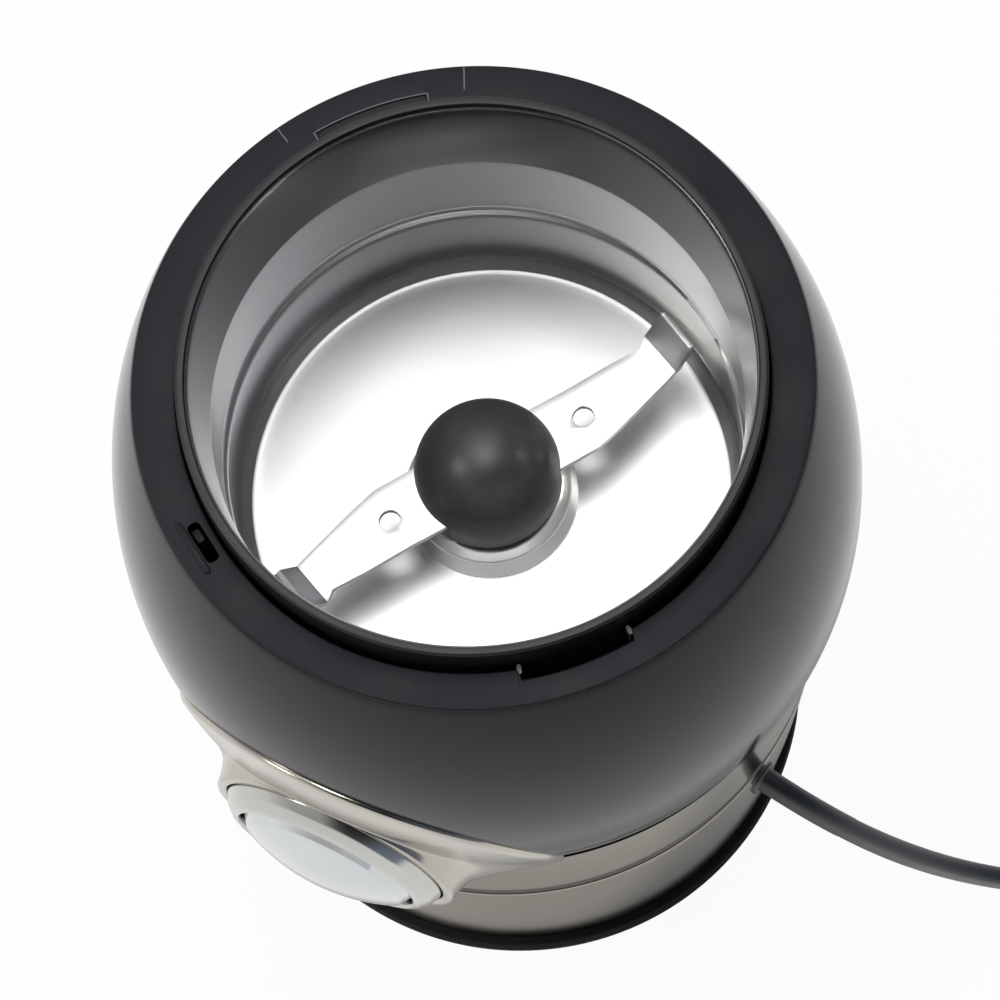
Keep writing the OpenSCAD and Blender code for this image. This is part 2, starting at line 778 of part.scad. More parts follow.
module brush_holders() {
    lift = commutator_z + brush_lift - brush_wall - bracket_z - bracket_t; // from the bracket to the box
    color("#b89a4a") for (side = [0, 180]) rotate([0, 0, side])
        translate([commutator_r + 2 * brush_wall, -brush_w / 2 - brush_wall, bracket_z + bracket_t])
        difference() {
            cube([brush_l + 2 * brush_wall, brush_w + 2 * brush_wall, lift + brush_w + 2 * brush_wall]);
            translate([-1, brush_wall - fit, lift + brush_wall - fit])
                cube([brush_l + 1, brush_w + 2 * fit, brush_w + 2 * fit]);
        }
}

module carbon_brushes() {
    color("#2c2d2f") for (side = [0, 180]) rotate([0, 0, side])
        translate([commutator_r + brush_gap, -brush_w / 2, commutator_z + brush_lift])
            cube([brush_l, brush_w, brush_w]);
}

module lower_bracket() {
    color("#8e9196") difference() {
        union() {
            translate([-stator_r, -bracket_w / 2, bracket_z]) cube([2 * stator_r, bracket_w, bracket_t]);
            translate([-bracket_w / 2, -stator_r, bracket_z + eps])
                cube([bracket_w, 2 * stator_r, bracket_t - 2 * eps]);
            for (side = [-1, 1]) translate([0, side * motor_screw_at, bracket_z + eps])
                cylinder(r = post_r, h = stack_z - bracket_z - eps);
        }
        translate([0, 0, bracket_z - 1]) cylinder(r = bush_r, h = bracket_t + 2);
        for (side = [-1, 1]) translate([0, side * motor_screw_at, bracket_z - 1])
            cylinder(r = motor_screw_r, h = stack_z - bracket_z + 2);
    }
}

module lower_bush() {
    color("#a8853f") translate([0, 0, bracket_z]) tube(bush_r, shaft_r + run_fit, bracket_t);
}

module motor_screws() {
    color("#c3c5c8") for (side = [-1, 1]) translate([0, side * motor_screw_at, 0]) {
        translate([0, 0, bracket_z - eps])
            cylinder(r = motor_screw_r, h = motor_plate_z + motor_plate_t - bracket_z + eps);
        translate([0, 0, bracket_z - motor_head_h]) cylinder(r = head_r, h = motor_head_h);
        translate([0, 0, stack_top]) tube(post_r, motor_screw_r - eps, motor_plate_z - stack_top);
    }
}

module cooling_fan() {
    color("#d8d3c4") difference() {
        union() {
            translate([0, 0, fan_z]) cylinder(r = fan_hub_r, h = fan_h);
            translate([0, 0, fan_z + fan_h - fan_t]) tube(fan_r, fan_hub_r - 1, fan_t);
            for (i = [0:11]) rotate([0, 0, 30 * i]) translate([fan_hub_r - 1, -fan_blade_t / 2, fan_z + eps])
                cube([fan_r - fan_hub_r, fan_blade_t, fan_h - 1]);
        }
        translate([0, 0, fan_z - 1]) cylinder(r = shaft_r, h = fan_h + 2);
    }
}

// ---- Front panel and button ----

// Points of the slope from the boss down to the panel, from 0 at the boss to 1, closer together near it
function flare_point(t) = let (out = (flare_r - boss_r) * t * t) [
    boss_r + out, boss_reach - flare_lip - flare_fall * (1 - exp(-out / flare_bend)) - flare_slope * out
];

module front_panel() {
    color("#c6c4be") difference() {
        union() {
            intersection() {
                union() {
                    rotate_extrude() polygon(concat(
                        [for (z = between(seam_z, ring_low - 8, 18)) [barrel_r(z) + apron_proud, z]],
                        [for (z = between(ring_low - 8, seam_z, 18)) [barrel_r(z) - apron_in, z]]
                    ));
                    on_button() rotate_extrude() polygon([
                        [boss_wall_r, boss_reach - flare_d],
                        for (t = between(1, 0, 6)) flare_point(t),
                        [boss_r - 0.4, boss_reach], [boss_wall_r, boss_reach]
                    ]);
                }
                on_button() translate([0, 0, 20]) linear_extrude(height = belly_r) apron_outline();
            }
            on_button() translate([0, 0, boss_reach - flare_d])
                tube(boss_r - 0.4, boss_wall_r, flare_d - 0.2);
        }
        on_button() translate([0, 0, 20]) cylinder(r = boss_wall_r, h = boss_reach);
        translate([0, 0, foot_h]) cylinder(r = seam_r + 0.2, h = seam_z - foot_h);
        translate([0, 0, seam_z - 1]) cylinder(r = panel_in, h = belly_r);
    }
}

module button_carrier() {
    color("#222326") difference() {
        union() {
            on_button() translate([-carrier_w / 2, carrier_low - button_z, carrier_reach - carrier_t])
                cube([carrier_w, carrier_high - carrier_low, carrier_t]);
            on_button() translate([0, 0, carrier_reach - guide_l])
                cylinder(r = stem_r + guide_wall, h = guide_l);
        }
        on_button() translate([0, 0, carrier_reach - guide_l - 1])
            cylinder(r = stem_r + guide_fit, h = guide_l + 2);
    }
}

module button_bezel() {
    inner = button_r + button_gap;
    color("#d3d4d6") on_button() difference() {
        rotate_extrude() polygon([
            [inner, button_face - bezel_t - bezel_seat], [bezel_r, boss_reach - bezel_seat],
            [bezel_r, boss_reach], [inner + 0.3, button_face], [inner, button_face - 0.3]
        ]);
    }
}

module power_button() {
    dome_r = arc_r(button_r, button_dome);
    dome_z = button_face + button_dome - dome_r;
    color("#dfe0e2") on_button() {
        difference() {
            union() {
                intersection() {
                    translate([0, 0, dome_z]) sphere(r = dome_r);
                    translate([0, 0, button_face]) cylinder(r = button_r, h = button_dome + 1);
                }
                translate([0, 0, button_face - button_skirt + 0.2])
                    cylinder(r = button_r, h = button_skirt - 0.2 + eps);
            }
            translate([0, 0, button_face - button_skirt - 1])
                cylinder(r = button_r - button_wall, h = button_skirt);
        }
        translate([0, 0, carrier_reach - guide_l])
            cylinder(r = stem_r, h = button_face - carrier_reach + guide_l - 0.5);
    }
}

module button_spring() {
    color("#aeb1b5") on_button() translate([0, 0, carrier_reach])
        tube(spring_r, spring_r - spring_wire, button_face - 1 - carrier_reach);
}

module power_switch() {
    color("#e8e2cf") on_button() translate([-switch_w / 2, carrier_low - button_z, switch_reach - switch_h])
        cube([switch_w, switch_d, switch_h]);
}

module switch_plunger() {
    start = switch_reach + button_travel + plunger_gap;
    color("#c4513a") on_button() translate([0, 0, start])
        cylinder(r = plunger_r, h = carrier_reach - guide_l - start);
}

// ---- Lid interlock ----

module interlock_pin() {
    color("#5a5d63") at_lock() translate([lock_r - lock_w / 2, -lock_l / 2, 0]) {
        translate([0, 0, pin_low]) cube([lock_w, lock_l, ring_top - trench_d - pin_low]);
        translate([0, pin_head_at, pin_low + eps])
            cube([lock_w, pin_head_l, ring_top - pin_head_drop - pin_low - eps]);
    }
}

module interlock_spring() {
    color("#aeb1b5") at_lock() translate([lock_r, 0, pin_low - spring_h])
        tube(lock_w / 2 + spring_wall, lock_w / 2, spring_h);
}

module lid_switch() {
    color("#e8e2cf") at_lock()
        translate([holder_out, -lid_switch_w / 2, lid_switch_z])
            cube([lid_switch_t, lid_switch_w, lid_switch_h]);
}

module suppressor() {
    color("#d9b43c") translate([-suppressor_l / 2, post_at - 2, chassis_low + chassis_floor])
        cube([suppressor_l, suppressor_w, suppressor_h]);
}

// ---- Cord and plug ----

function curve(a, b, c, d, t) =
    (1 - t) ^ 3 * a + 3 * (1 - t) ^ 2 * t * b + 3 * (1 - t) * t ^ 2 * c + t ^ 3 * d;
function drop_at(t) = curve(
    outlet, outlet + outlet_pull * outlet_heading, landing - landing_pull * join_heading, landing, t
);
function unit(v) = v / norm(v);
function heading(p, i) = unit(p[min(i + 1, len(p) - 1)] - p[max(i - 1, 0)]);

// Outline of a flat two-core cord: two half rounds, one above the other
function flat_section(w, t, sides) = [for (k = [0:sides - 1])
    let (a = 360 * (k + 0.5) / sides)
    [t / 2 * cos(a), t / 2 * sin(a) + sign(sin(a)) * (w - t) / 2]];

// A flat cord swept along a route, its width standing upright
module flat_tube(p, grow_start = 0, grow_end = 0) {
    sides = 12;
    rings = len(p);
    points = [for (i = [0:rings - 1])
        let (
            t = heading(p, i), side = unit(cross(t, [0, 0, 1])), up = cross(side, t),
            grow = grow_start + (grow_end - grow_start) * i / (rings - 1)
        )
        for (q = flat_section(cord_w + grow, cord_t + grow, sides)) p[i] + side * q.x + up * q.y];
    walls = [for (i = [0:rings - 2]) for (k = [0:sides - 1])
        let (a = i * sides + k, b = i * sides + (k + 1) % sides) [a, b, b + sides, a + sides]];
    ends = [[for (k = [sides - 1:-1:0]) k], [for (k = [0:sides - 1]) (rings - 1) * sides + k]];
    polyhedron(points = points, faces = concat(walls, ends), convexity = 8);
}

module cord_relief() {
    color("#222327") {
        flat_tube(
            concat([outlet - relief_in * outlet_heading], [for (t = between(0, relief_share, 8)) drop_at(t)]),
            relief_grow, relief_end_grow
        );
        rotate([0, 0, outlet_turn])
            translate([chassis_r + fit, -cord_t / 2 - relief_flange, outlet_z - cord_w / 2 - relief_flange])
                cube([relief_flange_t, cord_t + 2 * relief_flange, cord_w + 2 * relief_flange]);
    }
}

module cord_clamp() {
    start = chassis_r - chassis_wall - clamp_l - 0.6;
    color("#2a2b2f") rotate([0, 0, outlet_turn]) translate([start, 0, outlet_z]) difference() {
        translate([0, -clamp_w / 2, -clamp_h / 2]) cube([clamp_l, clamp_w, clamp_h]);
        translate([-1, -cord_t / 2, -cord_w / 2]) cube([clamp_l + 2, cord_t, cord_w]);
    }
}

module cord() {
    color("#303135") flat_tube(concat(
        [for (t = between(relief_share + cord_gap, 1, 18)) drop_at(t)],
        [join - join_heading * meet_l]
    ));
}

module cord_coil() {
    color("#303135") translate([coil_at.x, coil_at.y, coil_low]) rotate_extrude()
        translate([coil_in_r, 0]) square([coil_out_r - coil_in_r, coil_h]);
}

module on_tail() {
    translate([coil_at.x, coil_at.y, 0]) rotate([0, 0, tail_turn]) children();
}

module cord_tail() {
    tail_pull = (tail_l - tail_gap - meet_l) / 2;
    tail_end = plug_at - [0, tail_gap, 0];
    color("#303135") on_tail() flat_tube([for (t = between(0, 1, 5))
        curve(tail_start, tail_start + [0, tail_pull, 0], tail_end - [0, tail_pull, 0], tail_end, t)]);
}

module coil_tie() {
    w = coil_out_r - coil_in_r + tie_gap + 0.1;
    color("#1d1e20") translate([coil_at.x, coil_at.y, 0]) rotate([0, 0, tie_turn])
        translate([coil_in_r - tie_gap, -tie_w / 2, 0]) difference() {
            translate([-tie_t, 0, 0]) cube([w + 2 * tie_t, tie_w, coil_low + coil_h + tie_t]);
            translate([0, -1, coil_low]) cube([w, tie_w + 2, coil_h]);
        }
}

module plug_body() {
    color("#26272a") on_tail() translate([plug_at.x, plug_at.y, 0]) {
        translate([0, boot_l, 0]) linear_extrude(height = plug_t) polygon([
            [-plug_back_w / 2, 0], [plug_back_w / 2, 0], [plug_w / 2, plug_l - boot_l - plug_straight],
            [plug_w / 2, plug_l - boot_l], [-plug_w / 2, plug_l - boot_l],
            [-plug_w / 2, plug_l - boot_l - plug_straight]
        ]);
        translate([0, boot_l + eps, plug_at.z]) rotate([90, 0, 0])
            cylinder(r1 = boot_r, r2 = boot_end_r, h = boot_l);
    }
}

module plug_pins() {
    color("#c8c9cb") on_tail() for (side = [-1, 1])
        translate([plug_at.x + side * pin_gap / 2, plug_at.y + plug_l, plug_at.z]) rotate([-90, 0, 0]) {
            cylinder(r = plug_pin_r, h = plug_pin_l - plug_pin_tip);
            translate([0, 0, plug_pin_l - plug_pin_tip - eps])
                cylinder(r1 = plug_pin_r, r2 = plug_pin_r - 0.8, h = plug_pin_tip);
        }
}

foot_ring();
base_plate();
base_screws();
chassis();
steel_skirt();
skirt_band();
barrel();
locking_ring();
bowl_collar();
bowl();
bowl_deck();
bowl_holder();
hub();
upper_bush();
shaft_seal();
drive_shaft();
blade_washer();
blade();
blade_cap();
motor_plate();
rubber_mounts();
stator_core();
field_coils();
rotor_core();
rotor_windings();
commutator();
brush_holders();
carbon_brushes();
lower_bracket();
lower_bush();
motor_screws();
cooling_fan();
front_panel();
button_carrier();
button_bezel();
power_button();
button_spring();
power_switch();
switch_plunger();
interlock_pin();
interlock_spring();
lid_switch();
suppressor();
cord_relief();
cord_clamp();
cord();
cord_coil();
cord_tail();
coil_tie();
plug_body();
plug_pins();
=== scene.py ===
"""Electric spice grinder, lid off: the dressed model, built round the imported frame.

Lengths are millimetres until a mesh is made, and angles are degrees. +Z is up, the button faces -Y
and the origin is the middle of the foot on the table.
"""
import math

import bmesh
import bpy
from mathutils import Matrix, Quaternion, Vector


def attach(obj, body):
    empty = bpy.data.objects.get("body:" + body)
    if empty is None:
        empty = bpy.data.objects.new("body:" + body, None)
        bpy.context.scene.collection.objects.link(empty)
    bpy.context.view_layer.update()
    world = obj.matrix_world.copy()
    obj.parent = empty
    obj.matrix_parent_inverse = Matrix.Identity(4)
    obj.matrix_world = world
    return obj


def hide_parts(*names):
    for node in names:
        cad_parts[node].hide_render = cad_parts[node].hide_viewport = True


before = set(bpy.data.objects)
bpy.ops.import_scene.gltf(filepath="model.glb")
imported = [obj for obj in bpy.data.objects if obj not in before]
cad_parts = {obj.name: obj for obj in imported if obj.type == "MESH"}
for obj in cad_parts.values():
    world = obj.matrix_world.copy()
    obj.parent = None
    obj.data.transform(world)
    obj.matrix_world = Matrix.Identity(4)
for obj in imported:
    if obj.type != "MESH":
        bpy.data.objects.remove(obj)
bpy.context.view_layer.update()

MM = 0.001

# ---- Sizes, as in the part's source ----

# Barrel: one arc from the belly up to the rim and one down to the seam
ring_top, belly_r, belly_drop, barrel_wall = 144.0, 52.9, 42.0, 2.6
rim_inset, seam_inset, seam_z = 6.9, 4.0, 75.4
belly_z, barrel_top = ring_top - belly_drop, ring_top - 0.5

# Locking ring, the trench inside it, its two pockets and the interlock's slot
ring_low, ring_r, ring_hole_r, ring_neck_r = ring_top - 5.0, 45.4, 40.9, 44.0
rim_r = belly_r - rim_inset - 0.02
trench_low, trench_floor = 134.0, 136.0
pocket_r, pocket_arc, pocket_turns = 42.4, 22.0, (-44.4, 135.6)
lock_turn, lock_r, lock_w, lock_l = -122.3, 42.2, 1.2, 5.5

# Bowl and its collar
collar_r, collar_in_r, collar_base, collar_top = 39.8, 38.95, 132.0, ring_top + 4.0
lip_z, bowl_depth, bowl_r, bowl_wall = 147.6, 51.6, 38.2, 0.6
mouth_h, mouth_flare, well_h, well_inset, well_corner = 15.6, 1.6, 16.6, 2.0, 2.5
floor_z, mouth_z, floor_hole_r = lip_z - bowl_depth, lip_z - mouth_h, 9.0
bowl_out, mid_r, well_r = bowl_r + bowl_wall, bowl_r - mouth_flare, bowl_r - well_inset
well_top = floor_z + well_h

# Hub, blade, the shaft's neck and the cap over the nut
hub_low, hub_top, hub_r, hub_top_r, bush_r = floor_z - 9.0, floor_z + 5.0, 12.5, 12.2, 6.5
blade_z, blade_t, blade_turn, tip_angle = floor_z + 10.4, 1.2, 53.3, 57.0
blade_hole_at, blade_hole_r, neck_r, shaft_top = 15.6, 1.55, 2.5, 111.6
cap_r, cap_low, cap_mid = 10.5, 103.2, 105.9

# Foot, skirt and band
foot_h, foot_r, foot_in, foot_top_r, foot_round = 5.5, 44.4, 37.6, 43.3, 0.7
skirt_r, skirt_top_r, skirt_top, skirt_t, skirt_bulge = 43.2, 48.6, seam_z - 0.5, 1.2, 0.6
band_z, band_h, band_d = 51.0, 3.4, 0.7

# Button, the ring round it, and the front panel with its slope up to the boss
button_z, button_r, button_dome, button_face = 82.7, 13.5, 3.2, 56.02
bezel_r, boss_r, boss_reach, apron_r, apron_proud = 17.0, 18.8, 53.12, 29.6, 0.6
flare_fall, flare_slope, flare_bend = 3.5, 0.8, 0.55

# Cord: its route is the solids' own, and its sheath is a little slimmer than they are
cord_w, sheath_w, sheath_t = 5.4, 4.8, 3.0
outlet_z, outlet_turn, relief_l = 38.0, -9.0, 20.0
cord_drop_l, outlet_pull, landing_pull, straight_l = 61.0, 15.4, 21.0, 28.0
coil_x, coil_y, coil_line_r, coil_low, coil_join = 106.3, 44.7, 31.0, 0.6, -68.0
coil_turns, coil_pitch, coil_climb, layer_gap = 4, 3.75, 80.0, 0.05
tail_turn, tail_l, tail_level_l = -85.0, 20.5, 8.0
plug_t, plug_l, pin_apart = 13.7, 36.0, 18.6


def arc_r(height, inset):
    """Radius of the arc that falls by inset over that height."""
    return (height * height + inset * inset) / (2 * inset)


top_arc = arc_r(ring_top - belly_z, rim_inset)
low_arc = arc_r(belly_z - seam_z, seam_inset)


def barrel_r(z):
    """Outer radius of the barrel at that height."""
    r = top_arc if z > belly_z else low_arc
    return belly_r - (r - math.sqrt(r * r - (z - belly_z) ** 2))


def skirt_at(z):
    """Outer radius of the steel skirt at that height."""
    share = (z - foot_h) / (skirt_top - foot_h)
    return skirt_r + (skirt_top_r - skirt_r) * share * (1 + skirt_bulge - skirt_bulge * share)


# ---- Making meshes ----

# Edges that turn by more than this many degrees stay sharp
SHARP = 32


def evenly(start, stop, count):
    """count + 1 numbers from start to stop."""
    return [start + (stop - start) * i / count for i in range(count + 1)]


def eased(share):
    """A share of 0 to 1 that starts and stops softly."""
    share = min(max(share, 0.0), 1.0)
    return (3 - 2 * share) * share * share


def apart(a, b):
    """Angle between two directions, all in degrees."""
    return abs((a - b + 180) % 360 - 180)


def around(r, turn, z=0.0):
    """Point at that radius, turn in radians and height."""
    return (r * math.cos(turn), r * math.sin(turn), z)


def rounded(corners, steps=5):
    """A closed outline with its corners rounded. Each corner is (x, y) or (x, y, radius)."""
    outline = []
    for i, corner in enumerate(corners):
        here = Vector(corner[:2])
        radius = corner[2] if len(corner) > 2 else 0
        if not radius:
            outline.append(tuple(here))
            continue
        to_before = Vector(corners[i - 1][:2]) - here
        to_after = Vector(corners[(i + 1) % len(corners)][:2]) - here
        before, after = to_before.normalized(), to_after.normalized()
        half = before.angle(after) / 2
        # A short side is shared between the corners at its two ends
        reach = min(radius / math.tan(half), 0.45 * to_before.length, 0.45 * to_after.length)
        centre = here + (before + after).normalized() * reach / math.cos(half)
        start, stop = here + before * reach - centre, here + after * reach - centre
        sweep = start.angle(stop) * (1 if start.cross(stop) > 0 else -1)
        outline += [tuple(centre + Matrix.Rotation(sweep * share, 2) @ start)
                    for share in evenly(0, 1, steps)]
    return outline


# A shape is its points in millimetres and its faces


def turned(outline, steps):
    """The shape of a closed outline of (radius, height) turned about +Z."""
    count = len(outline)
    points = [around(r, math.tau * i / steps, z) for i in range(steps) for r, z in outline]
    faces = [
        (i * count + k, (i + 1) % steps * count + k,
         (i + 1) % steps * count + (k + 1) % count, i * count + (k + 1) % count)
        for i in range(steps) for k in range(count)
    ]
    return points, faces


def lofted(rings, closed=False):
    """The shape through rings of as many points each. Its ends are capped unless it is closed."""
    count = len(rings[0])
    points = [p for ring in rings for p in ring]
    last = len(rings) if closed else len(rings) - 1
    faces = [
        (i * count + k, i * count + (k + 1) % count,
         (i + 1) % len(rings) * count + (k + 1) % count, (i + 1) % len(rings) * count + k)
        for i in range(last) for k in range(count)
    ]
    if not closed:
        faces += [tuple(range(count - 1, -1, -1)), tuple(range(len(points) - count, len(points)))]
    return points, faces


def joined(*shapes):
    """Several shapes as one."""
    points, faces = [], []
    for more_points, more_faces in shapes:
        faces += [tuple(i + len(points) for i in face) for face in more_faces]
        points += [tuple(point) for point in more_points]
    return points, faces


def moved(shape, place):
    """A shape carried to its place by a matrix."""
    points, faces = shape
    return [tuple(place @ Vector(p)) for p in points], faces


def mesh_of(name, shape):
    """A mesh in metres from a shape in millimetres, without doubled points and with its faces outwards."""
    points, faces = shape
    mesh = bpy.data.meshes.new(name)
    mesh.from_pydata([Vector(p) * MM for p in points], [], faces)
    work = bmesh.new()
    work.from_mesh(mesh)
    bmesh.ops.remove_doubles(work, verts=work.verts, dist=2e-6)
    bmesh.ops.dissolve_degenerate(work, edges=work.edges, dist=1e-6)
    bmesh.ops.recalc_face_normals(work, faces=work.faces)
    work.to_mesh(mesh)
    work.free()
    return mesh


def new_object(name, data):
    """An object in the scene that holds a mesh, a lamp or a camera."""
    holder = bpy.data.objects.new(name, data)
    bpy.context.scene.collection.objects.link(holder)
    return holder


def make(name, shape, material, body, stands_for=(), place=None, sharp=SHARP):
    """A piece from a shape in millimetres: it rides on a body and may stand for the part's nodes."""
    mesh = mesh_of(name, moved(shape, place) if place else shape)
    mesh.materials.append(material)
    smooth(mesh, sharp)
    piece = new_object(name, mesh)
    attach(piece, body)
    if stands_for:
        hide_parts(*stands_for)
    return piece


def smooth(mesh, sharp):
    """Shades a mesh smooth, apart from edges sharper than that angle."""
    mesh.polygons.foreach_set("use_smooth", [True] * len(mesh.polygons))
    mesh.set_sharp_from_angle(angle=math.radians(sharp))


def settle(piece):
    """Applies a piece's modifiers to its mesh."""
    graph = bpy.context.evaluated_depsgraph_get()
    mesh = bpy.data.meshes.new_from_object(piece.evaluated_get(graph))
    old = piece.data
    piece.modifiers.clear()
    piece.data = mesh
    mesh.name = piece.name
    bpy.data.meshes.remove(old)
    smooth(mesh, SHARP)


def carve(piece, *shapes):
    """Cuts shapes in millimetres out of a piece."""
    for shape in shapes:
        cutter = new_object("cutter", mesh_of("cutter", shape))
        cut = piece.modifiers.new("cut", "BOOLEAN")
        cut.operation, cut.solver, cut.object = "DIFFERENCE", "EXACT", cutter
        settle(piece)
        bpy.data.objects.remove(cutter)


def soften(piece, width, angle=35):
    """Rounds a piece's edges by that many millimetres where they turn by more than angle."""
    edge = piece.modifiers.new("edges", "BEVEL")
    edge.width, edge.segments, edge.limit_method = width * MM, 2, "ANGLE"
    edge.angle_limit = math.radians(angle)
    settle(piece)


def block(low, high, turn=0, radius=0):
    """An upright block between two corners, with rounded upright edges, turned about +Z."""
    (x0, y0, z0), (x1, y1, z1) = low, high
    outline = rounded([(x0, y0, radius), (x1, y0, radius), (x1, y1, radius), (x0, y1, radius)], 4)
    spin = Matrix.Rotation(math.radians(turn), 3, "Z")
    return moved(lofted([[(x, y, z) for x, y in outline] for z in (z0, z1)]), spin)


# The button's axis: a piece built round +Z is laid down to face -Y
ON_BUTTON = Matrix.Translation((0, 0, button_z)) @ Matrix.Rotation(math.radians(90), 4, "X")

# ---- Making materials ----


def linear(hex_colour):
    """An sRGB hex colour as the linear one that the shaders use."""
    parts = [int(hex_colour[i:i + 2], 16) / 255 for i in (1, 3, 5)]
    return tuple(c / 12.92 if c <= 0.04045 else ((c + 0.055) / 1.055) ** 2.4 for c in parts) + (1.0,)


def add(tree, kind, settings=None, inputs=None):
    """Adds a node with its settings, and a value or a link for each input."""
    node = tree.nodes.new(kind)
    for name, value in (settings or {}).items():
        if name == "stops":
            while len(node.color_ramp.elements) > 1:
                node.color_ramp.elements.remove(node.color_ramp.elements[-1])
            for i, (at, colour) in enumerate(value):
                stop = node.color_ramp.elements[0] if i == 0 else node.color_ramp.elements.new(at)
                stop.position, stop.color = at, colour
        else:
            setattr(node, name, value)
    for name, value in (inputs or {}).items():
        if isinstance(value, bpy.types.NodeSocket):
            tree.links.new(value, node.inputs[name])
        else:
            node.inputs[name].default_value = value
    return node


def maths(tree, operation, *values):
    """The outcome of an operation on values or links."""
    return add(tree, "ShaderNodeMath", {"operation": operation}, dict(enumerate(values))).outputs[0]


def mapped(tree, value, before, after, way="LINEAR"):
    """A value carried from one range (low, high) to another."""
    return add(tree, "ShaderNodeMapRange", {"interpolation_type": way}, {
        "Value": value, "From Min": before[0], "From Max": before[1],
        "To Min": after[0], "To Max": after[1]}).outputs["Result"]


def noise(tree, place, size, detail, roughness=0.5):
    """Noise whose features are that many millimetres across."""
    return add(tree, "ShaderNodeTexNoise", inputs={
        "Vector": place, "Scale": 1000.0 / size, "Detail": detail, "Roughness": roughness}).outputs["Fac"]


def two_tone(tree, share, deep, pale, low=0.3, high=0.7):
    """A colour that goes from deep to pale as the share goes from low to high."""
    return add(tree, "ShaderNodeValToRGB", {"stops": [(low, linear(deep)), (high, linear(pale))]},
               {"Fac": share}).outputs["Color"]


def bumps(tree, height, strength, depth):
    """Relief that is that many millimetres deep."""
    return add(tree, "ShaderNodeBump", inputs={
        "Height": height, "Strength": strength, "Distance": depth * MM}).outputs["Normal"]


def grey(value):
    """A grey for a ramp that carries a number, not a colour."""
    return (value, value, value, 1.0)


def new_material(name):
    """An empty node material with its output: (material, tree, output)."""
    material = bpy.data.materials.new(name)
    material.use_nodes = True
    tree = material.node_tree
    tree.nodes.clear()
    return material, tree, add(tree, "ShaderNodeOutputMaterial")


def moulded(name, pale, deep, grain, depth, roughness, spread, mottle=9.0, **finish):
    """A moulded, cast or rolled surface: fine grain in its relief, soft mottling in its colour.

    grain and mottle are sizes in millimetres, depth is the relief in millimetres, and the roughness
    wanders by spread. finish holds the shader's own settings.
    """
    material, tree, output = new_material(name)
    place = add(tree, "ShaderNodeTexCoord").outputs["Object"]
    wide, fine = noise(tree, place, mottle, 3.0, 0.55), noise(tree, place, grain, 2.0, 0.6)
    shader = add(tree, "ShaderNodeBsdfPrincipled", inputs={
        "Base Color": two_tone(tree, wide, deep, pale),
        "Roughness": mapped(tree, wide, (0.3, 0.7), (roughness - spread, roughness + spread)),
        "Normal": bumps(tree, fine, 0.6, depth), **finish})
    tree.links.new(shader.outputs["BSDF"], output.inputs["Surface"])
    return material


def drawn(name, pale, deep, roughness, spread, line, depth, upright, satin=None, painted_shade_band=None, **finish):
    """A drawn or ground metal: its fine grain runs upright, or towards the axis where it lies flat.

    line is how long the lines of the grain are, in millimetres, and depth is their relief. One radian
    round +Z counts as upright millimetres, so the lines are narrower the farther that is over the radius.
    satin is (height, rise, more): below that height in millimetres the metal is rougher by more, and the
    change takes the rise. painted_shade_band is (height, share): above that height the colour is darkened
    to that share of itself, a painted band of shade.
    """
    material, tree, output = new_material(name)
    place = add(tree, "ShaderNodeTexCoord").outputs["Object"]
    parts = add(tree, "ShaderNodeSeparateXYZ", inputs={"Vector": place}).outputs
    flat = add(tree, "ShaderNodeCombineXYZ", inputs={"X": parts["X"], "Y": parts["Y"]})
    radius = add(tree, "ShaderNodeVectorMath", {"operation": "LENGTH"}, {0: flat.outputs["Vector"]})
    turn = maths(tree, "ARCTAN2", parts["Y"], parts["X"])
    grain = add(tree, "ShaderNodeCombineXYZ", inputs={
        "X": maths(tree, "MULTIPLY", turn, upright * MM), "Y": radius.outputs["Value"], "Z": parts["Z"]})
    lines = noise(tree, grain.outputs["Vector"], line, 2.0)
    clouds = noise(tree, place, 22.0, 2.0)
    rough = mapped(tree, maths(tree, "MULTIPLY_ADD", clouds, 0.5, lines), (0.5, 1.0),
                   (roughness - spread, roughness + spread))
    if satin:
        height, rise, more = satin
        low = mapped(tree, parts["Z"], (height * MM, (height + rise) * MM), (more, 0.0), "SMOOTHSTEP")
        rough = maths(tree, "ADD", rough, low)
    paint = two_tone(tree, lines, deep, pale)
    # Painted shade: above that height the metal's colour is darkened
    if painted_shade_band:
        height, share = painted_shade_band
        high = mapped(tree, parts["Z"], ((height - 0.15) * MM, (height + 0.15) * MM), (1.0, share))
        paint = add(tree, "ShaderNodeVectorMath", {"operation": "SCALE"}, {
            0: paint, "Scale": high}).outputs["Vector"]
    shader = add(tree, "ShaderNodeBsdfPrincipled", inputs={
        "Base Color": paint, "Metallic": 1.0, "Roughness": rough,
        "Normal": bumps(tree, lines, 0.5, depth), **finish})
    tree.links.new(shader.outputs["BSDF"], output.inputs["Surface"])
    return material


# High-gloss ABS: the barrel, which mirrors the table with barely any ripple from the mould
gloss_abs = moulded("high_gloss_abs", "#282a2e", "#24262a", 14.0, 0.0015, 0.12, 0.02, 30.0,
                    **{"IOR": 1.54, "Specular IOR Level": 0.1, "Specular Tint": linear("#fff8ec")})
# Spark-eroded ABS: the ring's even blue-grey grain, which scatters light but keeps a low sheen
ring_abs = moulded("spark_eroded_abs", "#191c22", "#16191e", 0.35, 0.02, 0.45, 0.06, 12.0,
                   **{"IOR": 1.54, "Specular IOR Level": 0.15})
# The same ABS made paler: a painted highlight on the fine raised lines on the ring and on the pocket's stops
pale_highlight_abs = moulded("pale_highlight_abs", "#55595f", "#484c52", 0.3, 0.01, 0.4, 0.05, 6.0, IOR=1.54)
# Black ABS with a fine gloss: the bowl's collar
black_abs = moulded("black_abs", "#1f2123", "#191b1d", 0.5, 0.01, 0.38, 0.05, 10.0,
                    **{"IOR": 1.54, "Specular IOR Level": 0.3})
